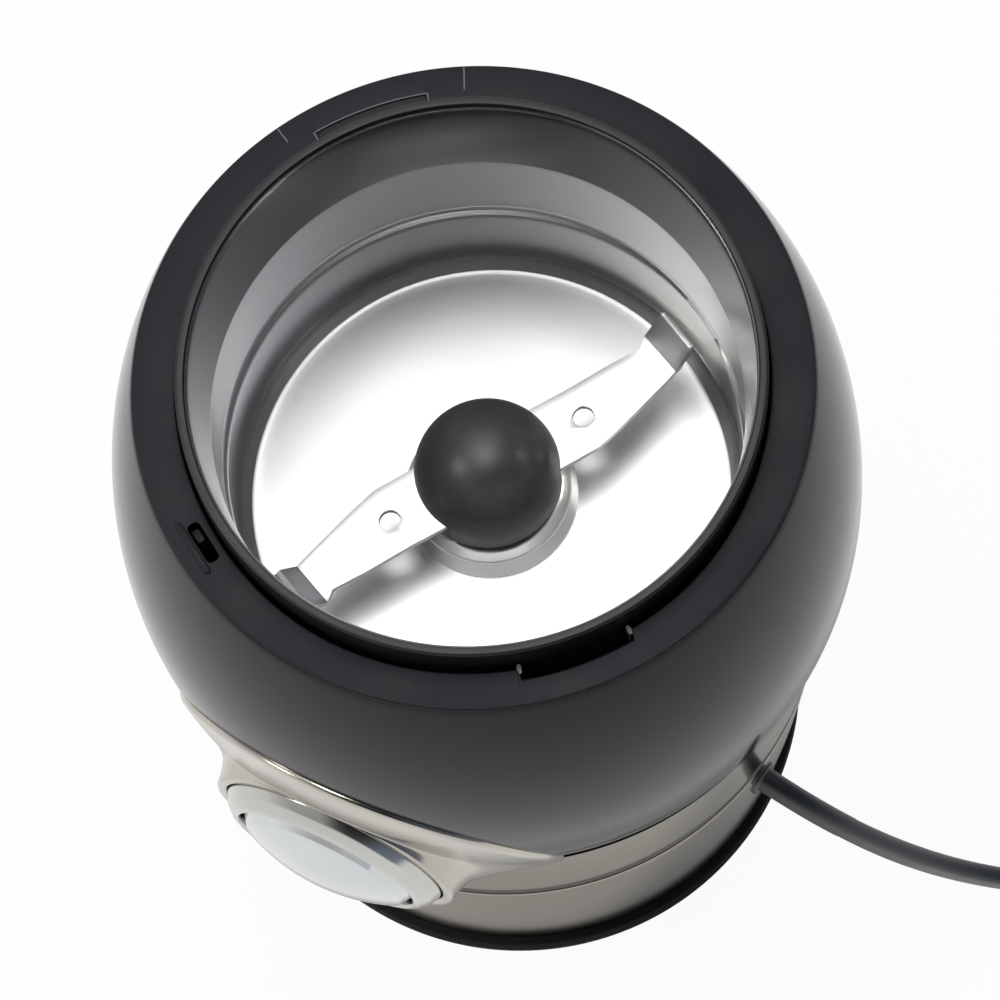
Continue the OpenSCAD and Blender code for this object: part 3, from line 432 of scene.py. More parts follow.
# Black rubber, moulded: the foot and the black band at the seam, a painted shadow for the gap there, with
# hardly any sheen
foot_rubber = moulded("moulded_rubber", "#141414", "#0f0f0f", 0.6, 0.02, 0.7, 0.05, 6.0,
                      **{"IOR": 1.52, "Specular IOR Level": 0.2})
# Grey nitrile: the skirt's inlay, dull and even
inlay_rubber = moulded("grey_nitrile", "#5d5a54", "#514f49", 0.5, 0.01, 0.6, 0.05, 8.0, IOR=1.52)
# Glass-filled polyamide: the unseen frames, dull, with the fibres' faint mottling
polyamide = moulded("glass_filled_polyamide", "#2c2c2f", "#232326", 0.8, 0.03, 0.6, 0.08, 3.0, IOR=1.53)
# Natural polyamide: switch bodies and the fan, cream and slightly waxy
cream_nylon = moulded("natural_polyamide", "#e3dcc9", "#d8cfb8", 0.9, 0.01, 0.45, 0.05, 6.0,
                      **{"IOR": 1.53, "Subsurface Weight": 0.1, "Subsurface Scale": 0.001})
# Red acetal: the switch's plunger
red_acetal = moulded("red_acetal", "#c2503a", "#b0432f", 0.8, 0.01, 0.35, 0.05, 4.0, IOR=1.48)
# Satin acetal: the cap over the blade's nut, charcoal with a wide soft highlight
cap_acetal = moulded("satin_acetal", "#4a4a4b", "#404041", 0.6, 0.012, 0.38, 0.05, 8.0, IOR=1.52)
# Silver-lacquered ABS: metal flakes under a satin lacquer
silver_lacquer = moulded("silver_lacquered_abs", "#c4c0b7", "#b0aca3", 0.25, 0.004, 0.19, 0.03, 16.0,
                         Metallic=0.95)
# Satin chrome plate on ABS: bright, with edges that hold a clean highlight
satin_chrome = moulded("satin_chrome_plate", "#d3d6d6", "#c9cccc", 2.0, 0.002, 0.08, 0.02, 20.0,
                       Metallic=1.0)
# Metallised ABS: the sloping ring round the button, softer and warmer than the button
metallised_abs = moulded("metallised_abs", "#c8c7c3", "#bdbcb8", 0.3, 0.003, 0.17, 0.02, 14.0,
                         Metallic=1.0)
# Polished stainless steel, rolled into the skirt: a warm mirror with a faint grain
skirt_steel = drawn("polished_stainless_steel", "#a9a193", "#979081", 0.16, 0.04, 0.3, 0.002, 400.0)
# Deep-drawn stainless steel: the bowl, brighter, satin on its floor, and darker above the crease by painted
# shade
bowl_steel = drawn("drawn_stainless_steel", "#d8d8d8", "#cccccd", 0.17, 0.04, 0.25, 0.0015, 400.0,
                   (floor_z + 0.3, 2.2, 0.2), (mouth_z, 0.4))
# Bead-blasted stainless steel: the blade, pale and even
blade_steel = moulded("bead_blasted_steel", "#e4e4e5", "#d9d9db", 0.2, 0.01, 0.4, 0.04, 5.0,
                      Metallic=1.0)
# Vapour-blasted aluminium: the hub, almost white, with a soft blurred mirror
hub_metal = moulded("vapour_blasted_aluminium", "#fbfbfa", "#f6f6f5", 0.25, 0.01, 0.35, 0.05, 6.0,
                    Metallic=1.0)
# Ground steel: the shaft and its washer
ground_steel = drawn("ground_steel", "#b3b5b8", "#a3a5a8", 0.25, 0.05, 0.15, 0.003, 300.0)
# Spring steel wire
spring_steel = moulded("spring_steel", "#b6b9bd", "#9fa2a6", 0.4, 0.01, 0.3, 0.06, 4.0, Metallic=1.0)
# Zinc-plated steel: bluish screws
zinc_steel = moulded("zinc_plated_steel", "#c3c7cc", "#aeb3b9", 0.5, 0.01, 0.34, 0.06, 2.0, Metallic=1.0)
# Varnished electrical steel: the laminated cores
core_steel = moulded("varnished_electrical_steel", "#7b7f84", "#62666b", 0.5, 0.03, 0.45, 0.08, 2.5,
                     Metallic=1.0)
# Enamelled copper wire
copper_wire = moulded("enamelled_copper_wire", "#b0582b", "#8f431f", 0.4, 0.08, 0.35, 0.08, 2.0,
                      **{"Metallic": 1.0, "Coat Weight": 0.5})
# Turned copper: the commutator
turned_copper = drawn("turned_copper", "#c98253", "#b06c40", 0.3, 0.05, 0.2, 0.003, 200.0)
# Sintered bronze: oiled bushes, speckled
sintered_bronze = moulded("sintered_bronze", "#a98a4c", "#8b6e38", 0.25, 0.03, 0.5, 0.08, 1.2,
                          Metallic=1.0)
# Stamped brass: the brush holders
stamped_brass = moulded("stamped_brass", "#c9a85a", "#b5954b", 0.6, 0.01, 0.32, 0.06, 4.0, Metallic=1.0)
# Die-cast aluminium: matt, slightly blotched
cast_aluminium = moulded("die_cast_aluminium", "#a7aaae", "#8f9296", 0.5, 0.05, 0.5, 0.08, 5.0,
                         Metallic=1.0)
# Pressed carbon: the brushes
pressed_carbon = moulded("pressed_carbon", "#343537", "#262729", 0.3, 0.02, 0.65, 0.08, 1.5, IOR=1.6)
# Nitrile rubber: the shaft's seal, brick red
nitrile_rubber = moulded("nitrile_rubber", "#8e3527", "#7a2b1f", 0.4, 0.02, 0.6, 0.06, 3.0, IOR=1.52)
# Natural rubber: the motor's mounts
mount_rubber = moulded("natural_rubber", "#2b2a29", "#222120", 0.4, 0.03, 0.7, 0.06, 3.0, IOR=1.52)
# Soft PVC: the cord's sheath and sleeve, with a low soft sheen
soft_pvc = moulded("soft_pvc", "#3b3d41", "#333539", 0.5, 0.015, 0.42, 0.05, 7.0,
                   **{"IOR": 1.53, "Sheen Weight": 0.15, "Sheen Roughness": 0.4})
# Moulded PVC: the plug and the coil's tie, a little harder and darker
plug_pvc = moulded("moulded_pvc", "#232427", "#1b1c1f", 0.35, 0.02, 0.45, 0.05, 6.0, IOR=1.53)
# Nickel-plated brass: the plug's pins
nickel_brass = moulded("nickel_plated_brass", "#d3d1cb", "#c2c0ba", 0.6, 0.003, 0.2, 0.03, 5.0,
                       Metallic=1.0)
# Polyester film: the suppressor's yellow wrap
yellow_film = moulded("yellow_polyester_film", "#dcb53c", "#cba52f", 1.0, 0.01, 0.3, 0.05, 6.0, IOR=1.6)

# ---- Camera ----

lens = bpy.data.cameras.new("camera")
lens.sensor_width, lens.lens = 36.0, 180.0
lens.clip_start, lens.clip_end = 0.05, 20.0
camera = new_object("camera", lens)
camera_at, camera_aim, camera_roll = Vector((132.58, -189.34, 774.52)), Vector((-3.16, 6.46, 72.0)), -9.28
camera.location = camera_at * MM
camera.rotation_mode = "QUATERNION"
camera.rotation_quaternion = (
    (camera_aim - camera_at).to_track_quat("-Z", "Y")
    @ Quaternion((0, 0, 1), math.radians(camera_roll))
)
bpy.context.scene.camera = camera

# ---- Cord: out of the skirt, down to the table, into a tied coil, and on to the plug ----


def curve(a, b, c, d, t):
    """Point at share t of a curve from a to d that leaves towards b and arrives from c."""
    return (1 - t) ** 3 * a + 3 * (1 - t) ** 2 * t * b + 3 * (1 - t) * t * t * c + t ** 3 * d


join_turn = math.radians(coil_join)
join_heading = Vector((-math.sin(join_turn), math.cos(join_turn), 0))
coil_mid = Vector((coil_x, coil_y, 0))
lying_z = coil_low + cord_w / 2
top_layer_z = lying_z + cord_w + layer_gap
join = coil_mid + Vector(around(1, join_turn)) * coil_line_r + Vector((0, 0, lying_z))
landing = join - join_heading * straight_l
outlet_dir = Vector(around(1, math.radians(outlet_turn)))
outlet = outlet_dir * skirt_at(outlet_z) + Vector((0, 0, outlet_z))


def drop_at(t):
    """Point at share t of the cord's fall from the outlet to the table."""
    leaving, arriving = outlet + outlet_dir * outlet_pull, landing - join_heading * landing_pull
    return curve(outlet, leaving, arriving, landing, t)


def coil_route():
    """The coil's own points: round and inwards on the table, up, and outwards again on top."""
    total = math.radians(360 * coil_turns + tail_turn - coil_join)
    climb = math.radians(coil_climb)
    inward = (total - climb) / 2
    route = []
    for gone in evenly(0, total, 128)[1:]:
        if gone < inward:
            wound, lift = gone, 0.0
        elif gone < inward + climb:
            wound, lift = inward, eased((gone - inward) / climb)
        else:
            wound, lift = total - gone, 1.0
        r = coil_line_r - coil_pitch * wound / math.tau
        route.append(coil_mid + Vector(around(r, join_turn + gone, lying_z + lift * (cord_w + layer_gap))))
    return route


# The tail leaves the coil's top layer straight along this frame's +Y, and the plug lies on the table
on_tail = Matrix.Translation(coil_mid) @ Matrix.Rotation(math.radians(tail_turn), 4, "Z")
plug_at = Vector((coil_line_r, tail_l, plug_t / 2))


def tail_at(y):
    """The tail's point at that distance from the coil: it comes down from the top layer to the plug."""
    fall = min(max((y - tail_level_l) / (tail_l - tail_level_l), 0.0), 1.0)
    above = (top_layer_z - plug_at.z) * (1 + math.cos(math.pi * fall)) / 2
    return on_tail @ Vector((coil_line_r, y, plug_at.z + above))


cord_path = (
    [drop_at(t) for t in evenly(0, 1, 30)]
    + [landing + (join - landing) * t for t in evenly(0, 1, 7)[1:]]
    + coil_route()
    + [tail_at(y) for y in evenly(0, tail_l + 2, 9)[1:]]
)


def cord_section(width, thickness, sides=20):
    """Outline of a flat two-core cord: two round cores with a shallow groove between them."""
    outline = []
    for k in range(sides):
        turn = math.tau * (k + 0.5) / sides
        x, y = math.cos(turn), math.sin(turn)
        waist = 1 - 0.09 * max(0.0, 1 - abs(y) * 3.2)
        outline.append((thickness / 2 * x * waist,
                        thickness / 2 * y + math.copysign((width - thickness) / 2, y)))
    return outline


def swept(path, sections):
    """The shape of an outline carried along a path, its width standing upright."""
    rings = []
    for i, here in enumerate(path):
        heading = (path[min(i + 1, len(path) - 1)] - path[max(i - 1, 0)]).normalized()
        side = heading.cross(Vector((0, 0, 1))).normalized()
        up = side.cross(heading)
        rings.append([here + side * x + up * y for x, y in sections[i]])
    return lofted(rings)


cord = make("cord_sheath", swept(cord_path, [cord_section(sheath_w, sheath_t)] * len(cord_path)),
            soft_pvc, "base", ("cord", "cord_coil", "cord_tail"), sharp=60)

# The sleeve: a thin flange covers the hole in the skirt, and the rest tapers to the cord
sleeve_grow, flange_grow, taper = 0.6, 2.3, 0.45
relief_path, relief_sections = [], []
for out, grow in ((-3.0, sleeve_grow), (-0.35, sleeve_grow), (-0.3, flange_grow), (0.3, flange_grow),
                  (0.45, flange_grow - 0.25), (0.5, sleeve_grow)):
    relief_path.append(outlet + outlet_dir * out)
    relief_sections.append(cord_section(sheath_w + grow, sheath_t + grow))
for share in evenly(0, 1, 24)[1:]:
    # Its last 6% is rounded off
    ending = max(share - 0.94, 0.0) / 0.06
    grow = sleeve_grow - taper * share - 0.06 * ending ** 2
    relief_path.append(drop_at(share * relief_l / cord_drop_l))
    relief_sections.append(cord_section(sheath_w + grow, sheath_t + grow))
relief = make("cord_relief_sleeve", swept(relief_path, relief_sections), soft_pvc, "base",
              ("cord_relief",), sharp=40)

# The tie round the turns of the coil
tie_turn, tie_near, tie_far, tie_high, tie_w = 160.0, 21.3, 34.0, 12.1, 6.8


def tie_outline(inset, low, low_round, high_round):
    """Outline of the tie round the turns, inset from its outside."""
    near, far, high = tie_near + inset, tie_far - inset, tie_high - inset
    return rounded([(near, low, low_round), (far, low, low_round),
                    (far, high, high_round), (near, high, high_round)])


tie_across = Matrix.Translation(coil_mid) @ Matrix.Rotation(math.radians(tie_turn), 4, "Z")
tie_inside, tie_outside = tie_outline(0.45, 0.62, 1.2, 1.6), tie_outline(0.0, 0.05, 1.5, 2.0)
tie_rings = [[(x, side * tie_w / 2, z) for x, z in outline]
             for side, outline in ((-1, tie_inside), (-1, tie_outside), (1, tie_outside), (1, tie_inside))]
tie = make("coil_strap", lofted(tie_rings, closed=True), plug_pvc, "base", ("coil_tie",),
           tie_across)
soften(tie, 0.12)


def plug_ring(y, half_w, half_t, power, count=40):
    """One cross-section of the plug: a soft rectangle."""
    ring = []
    for k in range(count):
        turn = math.tau * k / count
        x, z = math.cos(turn), math.sin(turn)
        ring.append(on_tail @ Vector((
            plug_at.x + half_w * math.copysign(abs(x) ** (2 / power), x), plug_at.y + y,
            plug_at.z + half_t * math.copysign(abs(z) ** (2 / power), z))))
    return ring


# Grip ribs behind the cord's neck, then the body: (distance, half width, half thickness, squareness)
plug_rings = [plug_ring(*ring) for ring in (
    (0.0, 2.6, 3.3, 2.2), (0.4, 3.1, 3.7, 2.2), (2.2, 3.2, 3.8, 2.2), (2.5, 2.8, 3.4, 2.2),
    (3.2, 2.8, 3.4, 2.2), (3.5, 3.4, 4.0, 2.2), (5.2, 3.6, 4.2, 2.2), (5.5, 3.2, 3.8, 2.2),
    (6.2, 3.2, 3.8, 2.2), (6.5, 3.9, 4.4, 2.2), (8.6, 4.3, 4.8, 2.2), (10.5, 6.6, 5.6, 2.4),
    (14.0, 9.8, 6.2, 2.6), (20.0, 14.6, 6.7, 3.0), (24.5, 17.2, 6.85, 3.6), (26.5, 17.6, 6.85, 4.2),
    (34.6, 17.65, 6.85, 4.6), (35.6, 17.3, 6.6, 4.6), (36.0, 16.6, 6.0, 4.6),
)]
plug = make("plug_shell", lofted(plug_rings), plug_pvc, "base", ("plug_body",), sharp=48)

pin_shape = turned(rounded([(0, 0), (2.0, 0), (2.0, 18.0, 0.3), (1.2, 19.0, 0.5), (0, 19.0)], 4), 32)
pin_places = [on_tail @ Matrix.Translation(plug_at + Vector((side * pin_apart / 2, plug_l, 0)))
              @ Matrix.Rotation(math.radians(-90), 4, "X") for side in (-1, 1)]
pins = make("plug_pin_pair", joined(*[moved(pin_shape, place) for place in pin_places]),
            nickel_brass, "base", ("plug_pins",))

# The coil doesn't show in the barrel's gloss
for piece in (cord, tie, plug, pins):
    piece.visible_glossy = False

# ---- Barrel ----

barrel_outer = [(barrel_r(z), z) for z in evenly(seam_z + 0.5, barrel_top - 0.35, 72)]
barrel_inner = [(barrel_r(z) - barrel_wall, z) for z in evenly(ring_low, seam_z, 20)]
barrel_edge = [
    (barrel_r(barrel_top) - 0.01, barrel_top - 0.1), (barrel_r(barrel_top) - 0.06, barrel_top - 0.02),
    (barrel_r(barrel_top) - 0.14, barrel_top), (ring_r + 0.22, barrel_top),
    (ring_r + 0.15, barrel_top - 0.1), (ring_r + 0.15, ring_low),
]
barrel_foot = [(barrel_r(seam_z) - 0.45, seam_z), (barrel_r(seam_z) - 0.12, seam_z + 0.14)]
barrel = make("barrel_shell", turned(barrel_outer + barrel_edge + barrel_inner + barrel_foot, 256),
              gloss_abs, "base", ("barrel",))


def apron_limit(turn):
    """Distance from the button's axis to the front panel's outline, in that direction round it."""
    x, z = math.cos(turn), math.sin(turn)
    limit = apron_r
    if z < 0:
        limit = min(apron_r / max(abs(x), 1e-6), (button_z - seam_z - 0.15) / -z)
        limit = min(limit, math.hypot(apron_r, button_z - seam_z))
    return limit


window_r, window_fall = 27.0, 9.5


def window_limit(turn):
    """Distance from the button's axis to the edge of the barrel's opening behind the panel."""
    x, z = math.cos(turn), math.sin(turn)
    if z > 0:
        return window_r
    return min(window_r / max(abs(x), 1e-6), window_fall / max(-z, 1e-6))


window = [[tuple(ON_BUTTON @ Vector(around(window_limit(a), a, depth)))
           for a in evenly(0, math.tau, 100)[:-1]] for depth in (30.0, 60.0)]
carve(barrel, lofted(window))

# ---- Front panel: an arched shell with a hollow slope up to the button's boss ----


def shell_reach(x, z):
    """Distance of the front panel's surface from the barrel's middle plane, at x and height z."""
    r = barrel_r(max(z, seam_z)) + apron_proud
    return math.sqrt(max(r * r - x * x, 1.0))


def slope_reach(r):
    """Height of the boss's side and of the slope round it, at that distance from the button's axis."""
    out = r - boss_r
    return boss_reach - 0.3 - flare_fall * (1 - math.exp(-out / flare_bend)) - flare_slope * out


def panel_reach(x, z):
    """The panel's surface: the higher of slope and shell, run softly into each other."""
    a, b, soft = shell_reach(x, z), slope_reach(math.hypot(x, z - button_z)), 1.4
    blend = max(soft - abs(a - b), 0) / soft
    return max(a, b) + blend * blend * soft / 4


def seat_reach(x, z):
    """How far in the panel's edge goes: to just inside the barrel, or clear of the skirt below the seam."""
    r = skirt_at(skirt_top) + 0.45 if z < seam_z + 0.1 else barrel_r(z) - 0.8
    return math.sqrt(max(r * r - x * x, 1.0))


panel_back, panel_edge_w = 44.0, 1.4
panel_rings = []
for a in evenly(0, math.tau, 240)[:-1]:
    x, z = math.cos(a), math.sin(a)
    limit = max(apron_limit(a), boss_r + 0.02)
    edge = min(0.45, (limit - boss_r) / 3)
    top = panel_reach(limit * x, button_z + limit * z)
    low = min(seat_reach(limit * x, button_z + limit * z), top - edge - 0.02)
    back, edge_in_r = min(panel_back, low - 0.2), max(limit - panel_edge_w, bezel_r + 0.5)
    ring = [(bezel_r + 0.22, back), (bezel_r + 0.22, boss_reach - 0.35), (bezel_r + 0.3, boss_reach - 0.1),
            (bezel_r + 0.5, boss_reach), (boss_r - 0.5, boss_reach), (boss_r - 0.2, boss_reach - 0.07),
            (boss_r - 0.03, boss_reach - 0.25)]
    for t in evenly(0, 1, 26):
        r = boss_r + (limit - edge - boss_r) * (t ** 1.7)
        ring.append((r, panel_reach(r * x, button_z + r * z)))
    ring += [(limit - edge * 0.45, top - edge * 0.12), (limit - edge * 0.12, top - edge * 0.45),
             (limit, top - edge), (limit, low), (edge_in_r, low), (edge_in_r, back)]
    panel_rings.append([tuple(ON_BUTTON @ Vector((r * x, r * z, reach))) for r, reach in ring])
make("front_panel_shell", lofted(panel_rings, closed=True), silver_lacquer, "base",
     ("front_panel",), sharp=50)

# ---- Button and the sloping ring round it ----

make("bezel_ring", turned(rounded([
    (button_r + 0.3, button_face - 3.8), (bezel_r, boss_reach - 2.4), (bezel_r, boss_reach + 0.1, 0.35),
    (bezel_r - 0.75, boss_reach + 1.45, 1.1), (button_r + 1.5, button_face - 0.35, 1.1),
    (button_r + 0.5, button_face, 0.25), (button_r + 0.3, button_face - 0.4, 0.15),
]), 160), metallised_abs, "base", ("button_bezel",), ON_BUTTON)

dome_r, stem_r, stem_end = arc_r(button_r, button_dome), 4.0, 34.8
dome = [(dome_r * math.sin(a), button_face + button_dome - dome_r + dome_r * math.cos(a))
        for a in evenly(0, math.asin((button_r - 1.25) / dome_r), 26)]
make("button_cap", turned(dome + [
    (button_r - 1.1, button_face + 0.42), (button_r - 0.3, button_face - 0.72),
    (button_r - 0.12, button_face - 0.9), (button_r, button_face - 1.15), (button_r, button_face - 3.2),
    (button_r - 1.6, button_face - 3.2), (button_r - 1.6, button_face - 1.0), (stem_r, button_face - 1.0),
    (stem_r, stem_end + 0.25), (stem_r - 0.3, stem_end), (0, stem_end),
], 160), satin_chrome, "button", ("power_button",), ON_BUTTON)

# ---- Steel skirt, band and foot ----

# A black band between the barrel and the skirt: a painted shadow standing in for the dark gap at the seam
shadow_band_in_r, shadow_band_r = 47.6, 49.3
make("seam_painted_shadow_band", turned(rounded([
    (shadow_band_in_r, skirt_top - 0.3), (shadow_band_r - 0.15, skirt_top - 0.3, 0.1), (shadow_band_r, seam_z - 0.04, 0.12),
    (shadow_band_in_r, seam_z - 0.04),
]), 224), foot_rubber, "base")

groove_top, groove_low, groove_r = band_z + band_h / 2, band_z - band_h / 2, skirt_at(band_z) - band_d
skirt_outer = [(skirt_at(z), z) for z in evenly(foot_h + 0.5, groove_low - 0.3, 24)]
skirt_groove = [
    (skirt_at(groove_low) - 0.08, groove_low - 0.06), (skirt_at(groove_low) - 0.28, groove_low),
    (groove_r, groove_low), (groove_r, groove_top),
    (skirt_at(groove_top) - 0.28, groove_top), (skirt_at(groove_top) - 0.08, groove_top + 0.06),
]
skirt_upper = [(skirt_at(z), z) for z in evenly(groove_top + 0.3, skirt_top - 0.4, 18)]
skirt_lip = [(skirt_at(skirt_top) - 0.14, skirt_top - 0.1), (skirt_at(skirt_top) - 0.45, skirt_top),
             (skirt_at(skirt_top) - skirt_t, skirt_top - 0.1)]
skirt_inner = [(skirt_at(z) - skirt_t, z) for z in evenly(skirt_top - 0.5, foot_h, 16)]
skirt_roll = [(skirt_r - 0.5, foot_h), (skirt_r - 0.15, foot_h + 0.15)]
skirt = make("skirt_sleeve", turned(
    skirt_outer + skirt_groove + skirt_upper + skirt_lip + skirt_inner + skirt_roll, 256),
    skirt_steel, "base", ("steel_skirt",))
# The hole that the cord's sleeve goes through
outlet_w, outlet_h = 4.2, 6.0
carve(skirt, block((44.0, -outlet_w / 2, outlet_z - outlet_h / 2),
                   (52.0, outlet_w / 2, outlet_z + outlet_h / 2), outlet_turn, 1.0))

make("skirt_inlay", turned(rounded([
    (groove_r + 0.02, groove_low + 0.06), (skirt_at(groove_low) - 0.2, groove_low + 0.06, 0.1),
    (skirt_at(groove_top) - 0.2, groove_top - 0.06, 0.1), (groove_r + 0.02, groove_top - 0.06),
]), 224), inlay_rubber, "base", ("skirt_band",))

# The tread under the foot has a shallow groove
tread_in, tread_out, tread_d = 38.6, 42.0, 0.45
make("foot_tread", turned(rounded([
    (foot_in, 0.0, 0.3), (tread_in, 0.0, 0.3), (tread_in + 0.4, tread_d, 0.3),
    (tread_out - 0.4, tread_d, 0.3), (tread_out, 0.0, 0.3),
    (foot_r - foot_round, 0.0, 0.3), (foot_r, foot_round, 0.5),
    (foot_r + 0.2, foot_h / 2, 2.0), (foot_r, foot_h - foot_round, 0.5), (foot_top_r, foot_h - 0.03, 0.1),
    (foot_in, foot_h - 0.03),
]), 224), foot_rubber, "base", ("foot_ring",))

# ---- Locking ring, with its pockets, slot and lines ----


def hole_at(a):
    """Radius of the ring's hole in that direction: it clears the collar by most at the front, at -55."""
    return ring_hole_r - 0.8 * eased((apart(a, -55) - 30) / 50)


def ring_inner(a):
    """Inner radius of the locking ring in that direction, which steps out at the two pockets."""
    off = min(apart(a, middle) for middle in pocket_turns)
    return hole_at(a) + (pocket_r - hole_at(a)) * eased((pocket_arc / 2 + 0.35 - off) / 0.7)


ring_turns = evenly(-180, 180, 360)[:-1]
for middle in pocket_turns:
    for end in (middle - pocket_arc / 2, middle + pocket_arc / 2):
        ring_turns += [(end + step + 180) % 360 - 180 for step in (-0.35, -0.2, -0.08, 0.08, 0.2, 0.35)]
ring_sections = []
for a in sorted(set(round(a, 3) for a in ring_turns)):
    inner, hole = ring_inner(a), hole_at(a) - 0.02
    # The rear pocket is a shallow step, and the front one is open down to the trench
    rear = apart(a, pocket_turns[1]) < pocket_arc / 2 + 0.3
    ledge = ring_top - 0.35 if rear else trench_floor + 0.3
    outline = rounded([
        (ring_r, ring_low), (ring_r, barrel_top + 0.1), (rim_r, barrel_top + 0.1, 0.1),
        (rim_r, ring_top, 0.22), (inner, ring_top, 0.25), (inner, ledge, 0.1), (hole, ledge - 0.02),
        (hole, trench_floor), (collar_r + 0.15, trench_floor, 0.1), (collar_r + 0.15, trench_low, 0.1),
        (ring_neck_r, trench_low, 0.3), (ring_neck_r, ring_low),
    ], 4)
    ring_sections.append([around(r, math.radians(a), z) for r, z in outline])
ring = make("ring_body", lofted(ring_sections, closed=True), ring_abs, "base",
            ("locking_ring",))
slot_w, slot_l = 1.9, lock_l + 0.7
carve(ring, block((lock_r - slot_w / 2, -slot_l / 2, trench_low - 2.0),
                  (lock_r + slot_w / 2, slot_l / 2, ring_top + 2.0), lock_turn, 0.7))

# Fine raised lines: two across the ring, and one round the shallow rear pocket
line_top = ring_top + 0.06
ring_lines = [block((start_r, -0.1, ring_top - 0.3), (45.75, 0.1, line_top), a)
              for a, start_r in ((151.7, 43.3), (117.5, 42.4))]
pocket_ends = [pocket_turns[1] + side * (pocket_arc / 2 + 0.2) for side in (-1, 1)]
ring_lines += [block((ring_hole_r + 0.2, -0.09, ring_top - 0.4), (pocket_r + 0.1, 0.09, line_top), a)
               for a in pocket_ends]
line_section = ((pocket_r - 0.03, ring_top - 0.3), (pocket_r + 0.14, ring_top - 0.3),
                (pocket_r + 0.14, line_top), (pocket_r - 0.03, line_top))
ring_lines.append(lofted([[around(r, math.radians(a), z) for r, z in line_section]
                          for a in evenly(*pocket_ends, 24)]))
# The lines' pale colour is a painted highlight
make("ring_lines", joined(*ring_lines), pale_highlight_abs, "base")

# Small stops at the two ends of the front pocket, pale as a painted glint, and a low wall beside the slot
make("pocket_stops", joined(*[
    block((40.2, -0.3, ring_low + 0.4), (41.5, 0.3, ring_top - 0.25),
          pocket_turns[0] + side * (pocket_arc / 2 - 0.1), 0.25)
    for side in (-1, 1)]), pale_highlight_abs, "base")
guard = make("slot_guard", block((43.3, -4.4, ring_top - 0.6), (44.3, 4.2, ring_top + 0.3), lock_turn, 0.45),
             ring_abs, "base")
soften(guard, 0.25)
# The interlock's pin stands in one end of the slot, a little below the ring's top
tab_low, tab_top, tab_l = 118.0, ring_top - 1.05, 2.1
tab = make("interlock_tab", block(
    (lock_r - lock_w / 2, -lock_l / 2 + 0.2, tab_low),
    (lock_r + lock_w / 2, -lock_l / 2 + 0.2 + tab_l, tab_top), lock_turn, 0.4),
    ring_abs, "interlock", ("interlock_pin",))
soften(tab, 0.15)

# ---- Collar and bowl ----

collar_foot_r, lap_r = collar_r + 1.0, bowl_r + 0.38
make("bowl_collar_ring", turned(rounded([
    (collar_in_r, collar_base), (collar_foot_r, collar_base), (collar_foot_r, collar_base + 1.8, 0.2),
    (collar_r, collar_base + 1.8, 0.2), (collar_r, collar_top, 0.38), (lap_r, collar_top, 0.14),
    (lap_r, lip_z + 0.08), (collar_in_r, lip_z + 0.08),
]), 256), black_abs, "base", ("bowl_collar",))

bowl_lip = [(bowl_out, lip_z - 0.3), (bowl_out - 0.09, lip_z - 0.09), (bowl_out - 0.3, lip_z),
            (bowl_r + 0.09, lip_z - 0.09), (bowl_r, lip_z - 0.3)]
bowl_mouth = [(bowl_r + (mid_r - bowl_r) * (lip_z - z) / (lip_z - mouth_z), z)
              for z in evenly(lip_z - 1.2, mouth_z + 0.7, 10)]
mouth_turn = [(mid_r + 0.035, mouth_z + 0.35), (mid_r + 0.01, mouth_z + 0.1), (mid_r, mouth_z - 0.2)]
bowl_side = [(mid_r, z) for z in evenly(mouth_z - 1.2, well_top + 3.4, 8)]
# The bead pressed in above the well: a groove, then a soft step inwards
bowl_bead = [(mid_r - 0.02, well_top + 2.9), (mid_r + 0.1, well_top + 2.4), (mid_r + 0.14, well_top + 1.9),
             (mid_r + 0.05, well_top + 1.4), (mid_r - 0.14, well_top + 1.0), (well_r + 0.08, well_top + 0.5),
             (well_r + 0.01, well_top)]
bowl_well = [(well_r, z) for z in evenly(well_top - 0.8, floor_z + well_corner + 0.4, 7)]
bowl_corner = [(well_r - well_corner + well_corner * math.cos(a),
                floor_z + well_corner + well_corner * math.sin(a)) for a in evenly(0, -math.pi / 2, 10)]
bowl_floor = [(r, floor_z) for r in evenly(well_r - well_corner - 1.0, floor_hole_r, 14)]
bowl_under = [(floor_hole_r, floor_z - bowl_wall), (well_r - well_corner, floor_z - bowl_wall)]
bowl_outer = [(well_r + bowl_wall, floor_z + well_corner), (well_r + bowl_wall, well_top),
              (mid_r + bowl_wall + 0.14, well_top + 2.0), (mid_r + bowl_wall, mouth_z)]
make("bowl_shell", turned(
    bowl_lip + bowl_mouth + mouth_turn + bowl_side + bowl_bead + bowl_well
    + bowl_corner + bowl_floor + bowl_under + bowl_outer, 256),
    bowl_steel, "base", ("bowl",))

neck_in_r, seal_seat_r = floor_hole_r - 0.15, 4.5
make("hub_boss", turned(rounded([
    (bush_r, hub_low), (neck_in_r, hub_low), (neck_in_r, floor_z), (hub_r, floor_z, 0.1),
    (hub_r, floor_z + 0.6, 0.5), (hub_top_r - 0.5, hub_top - 1.0, 1.0), (hub_top_r - 1.9, hub_top, 1.2),
    (seal_seat_r, hub_top), (seal_seat_r, hub_top - 1.0), (bush_r, hub_top - 1.0),
]), 128), hub_metal, "base", ("hub",))

# ---- Blade ----

# The two ends of the line along which a tip is bent up, and the bend's radius
bend_low, bend_high, bend_r = Vector((30.8, 0.3)), Vector((29.4, 7.0)), 1.3


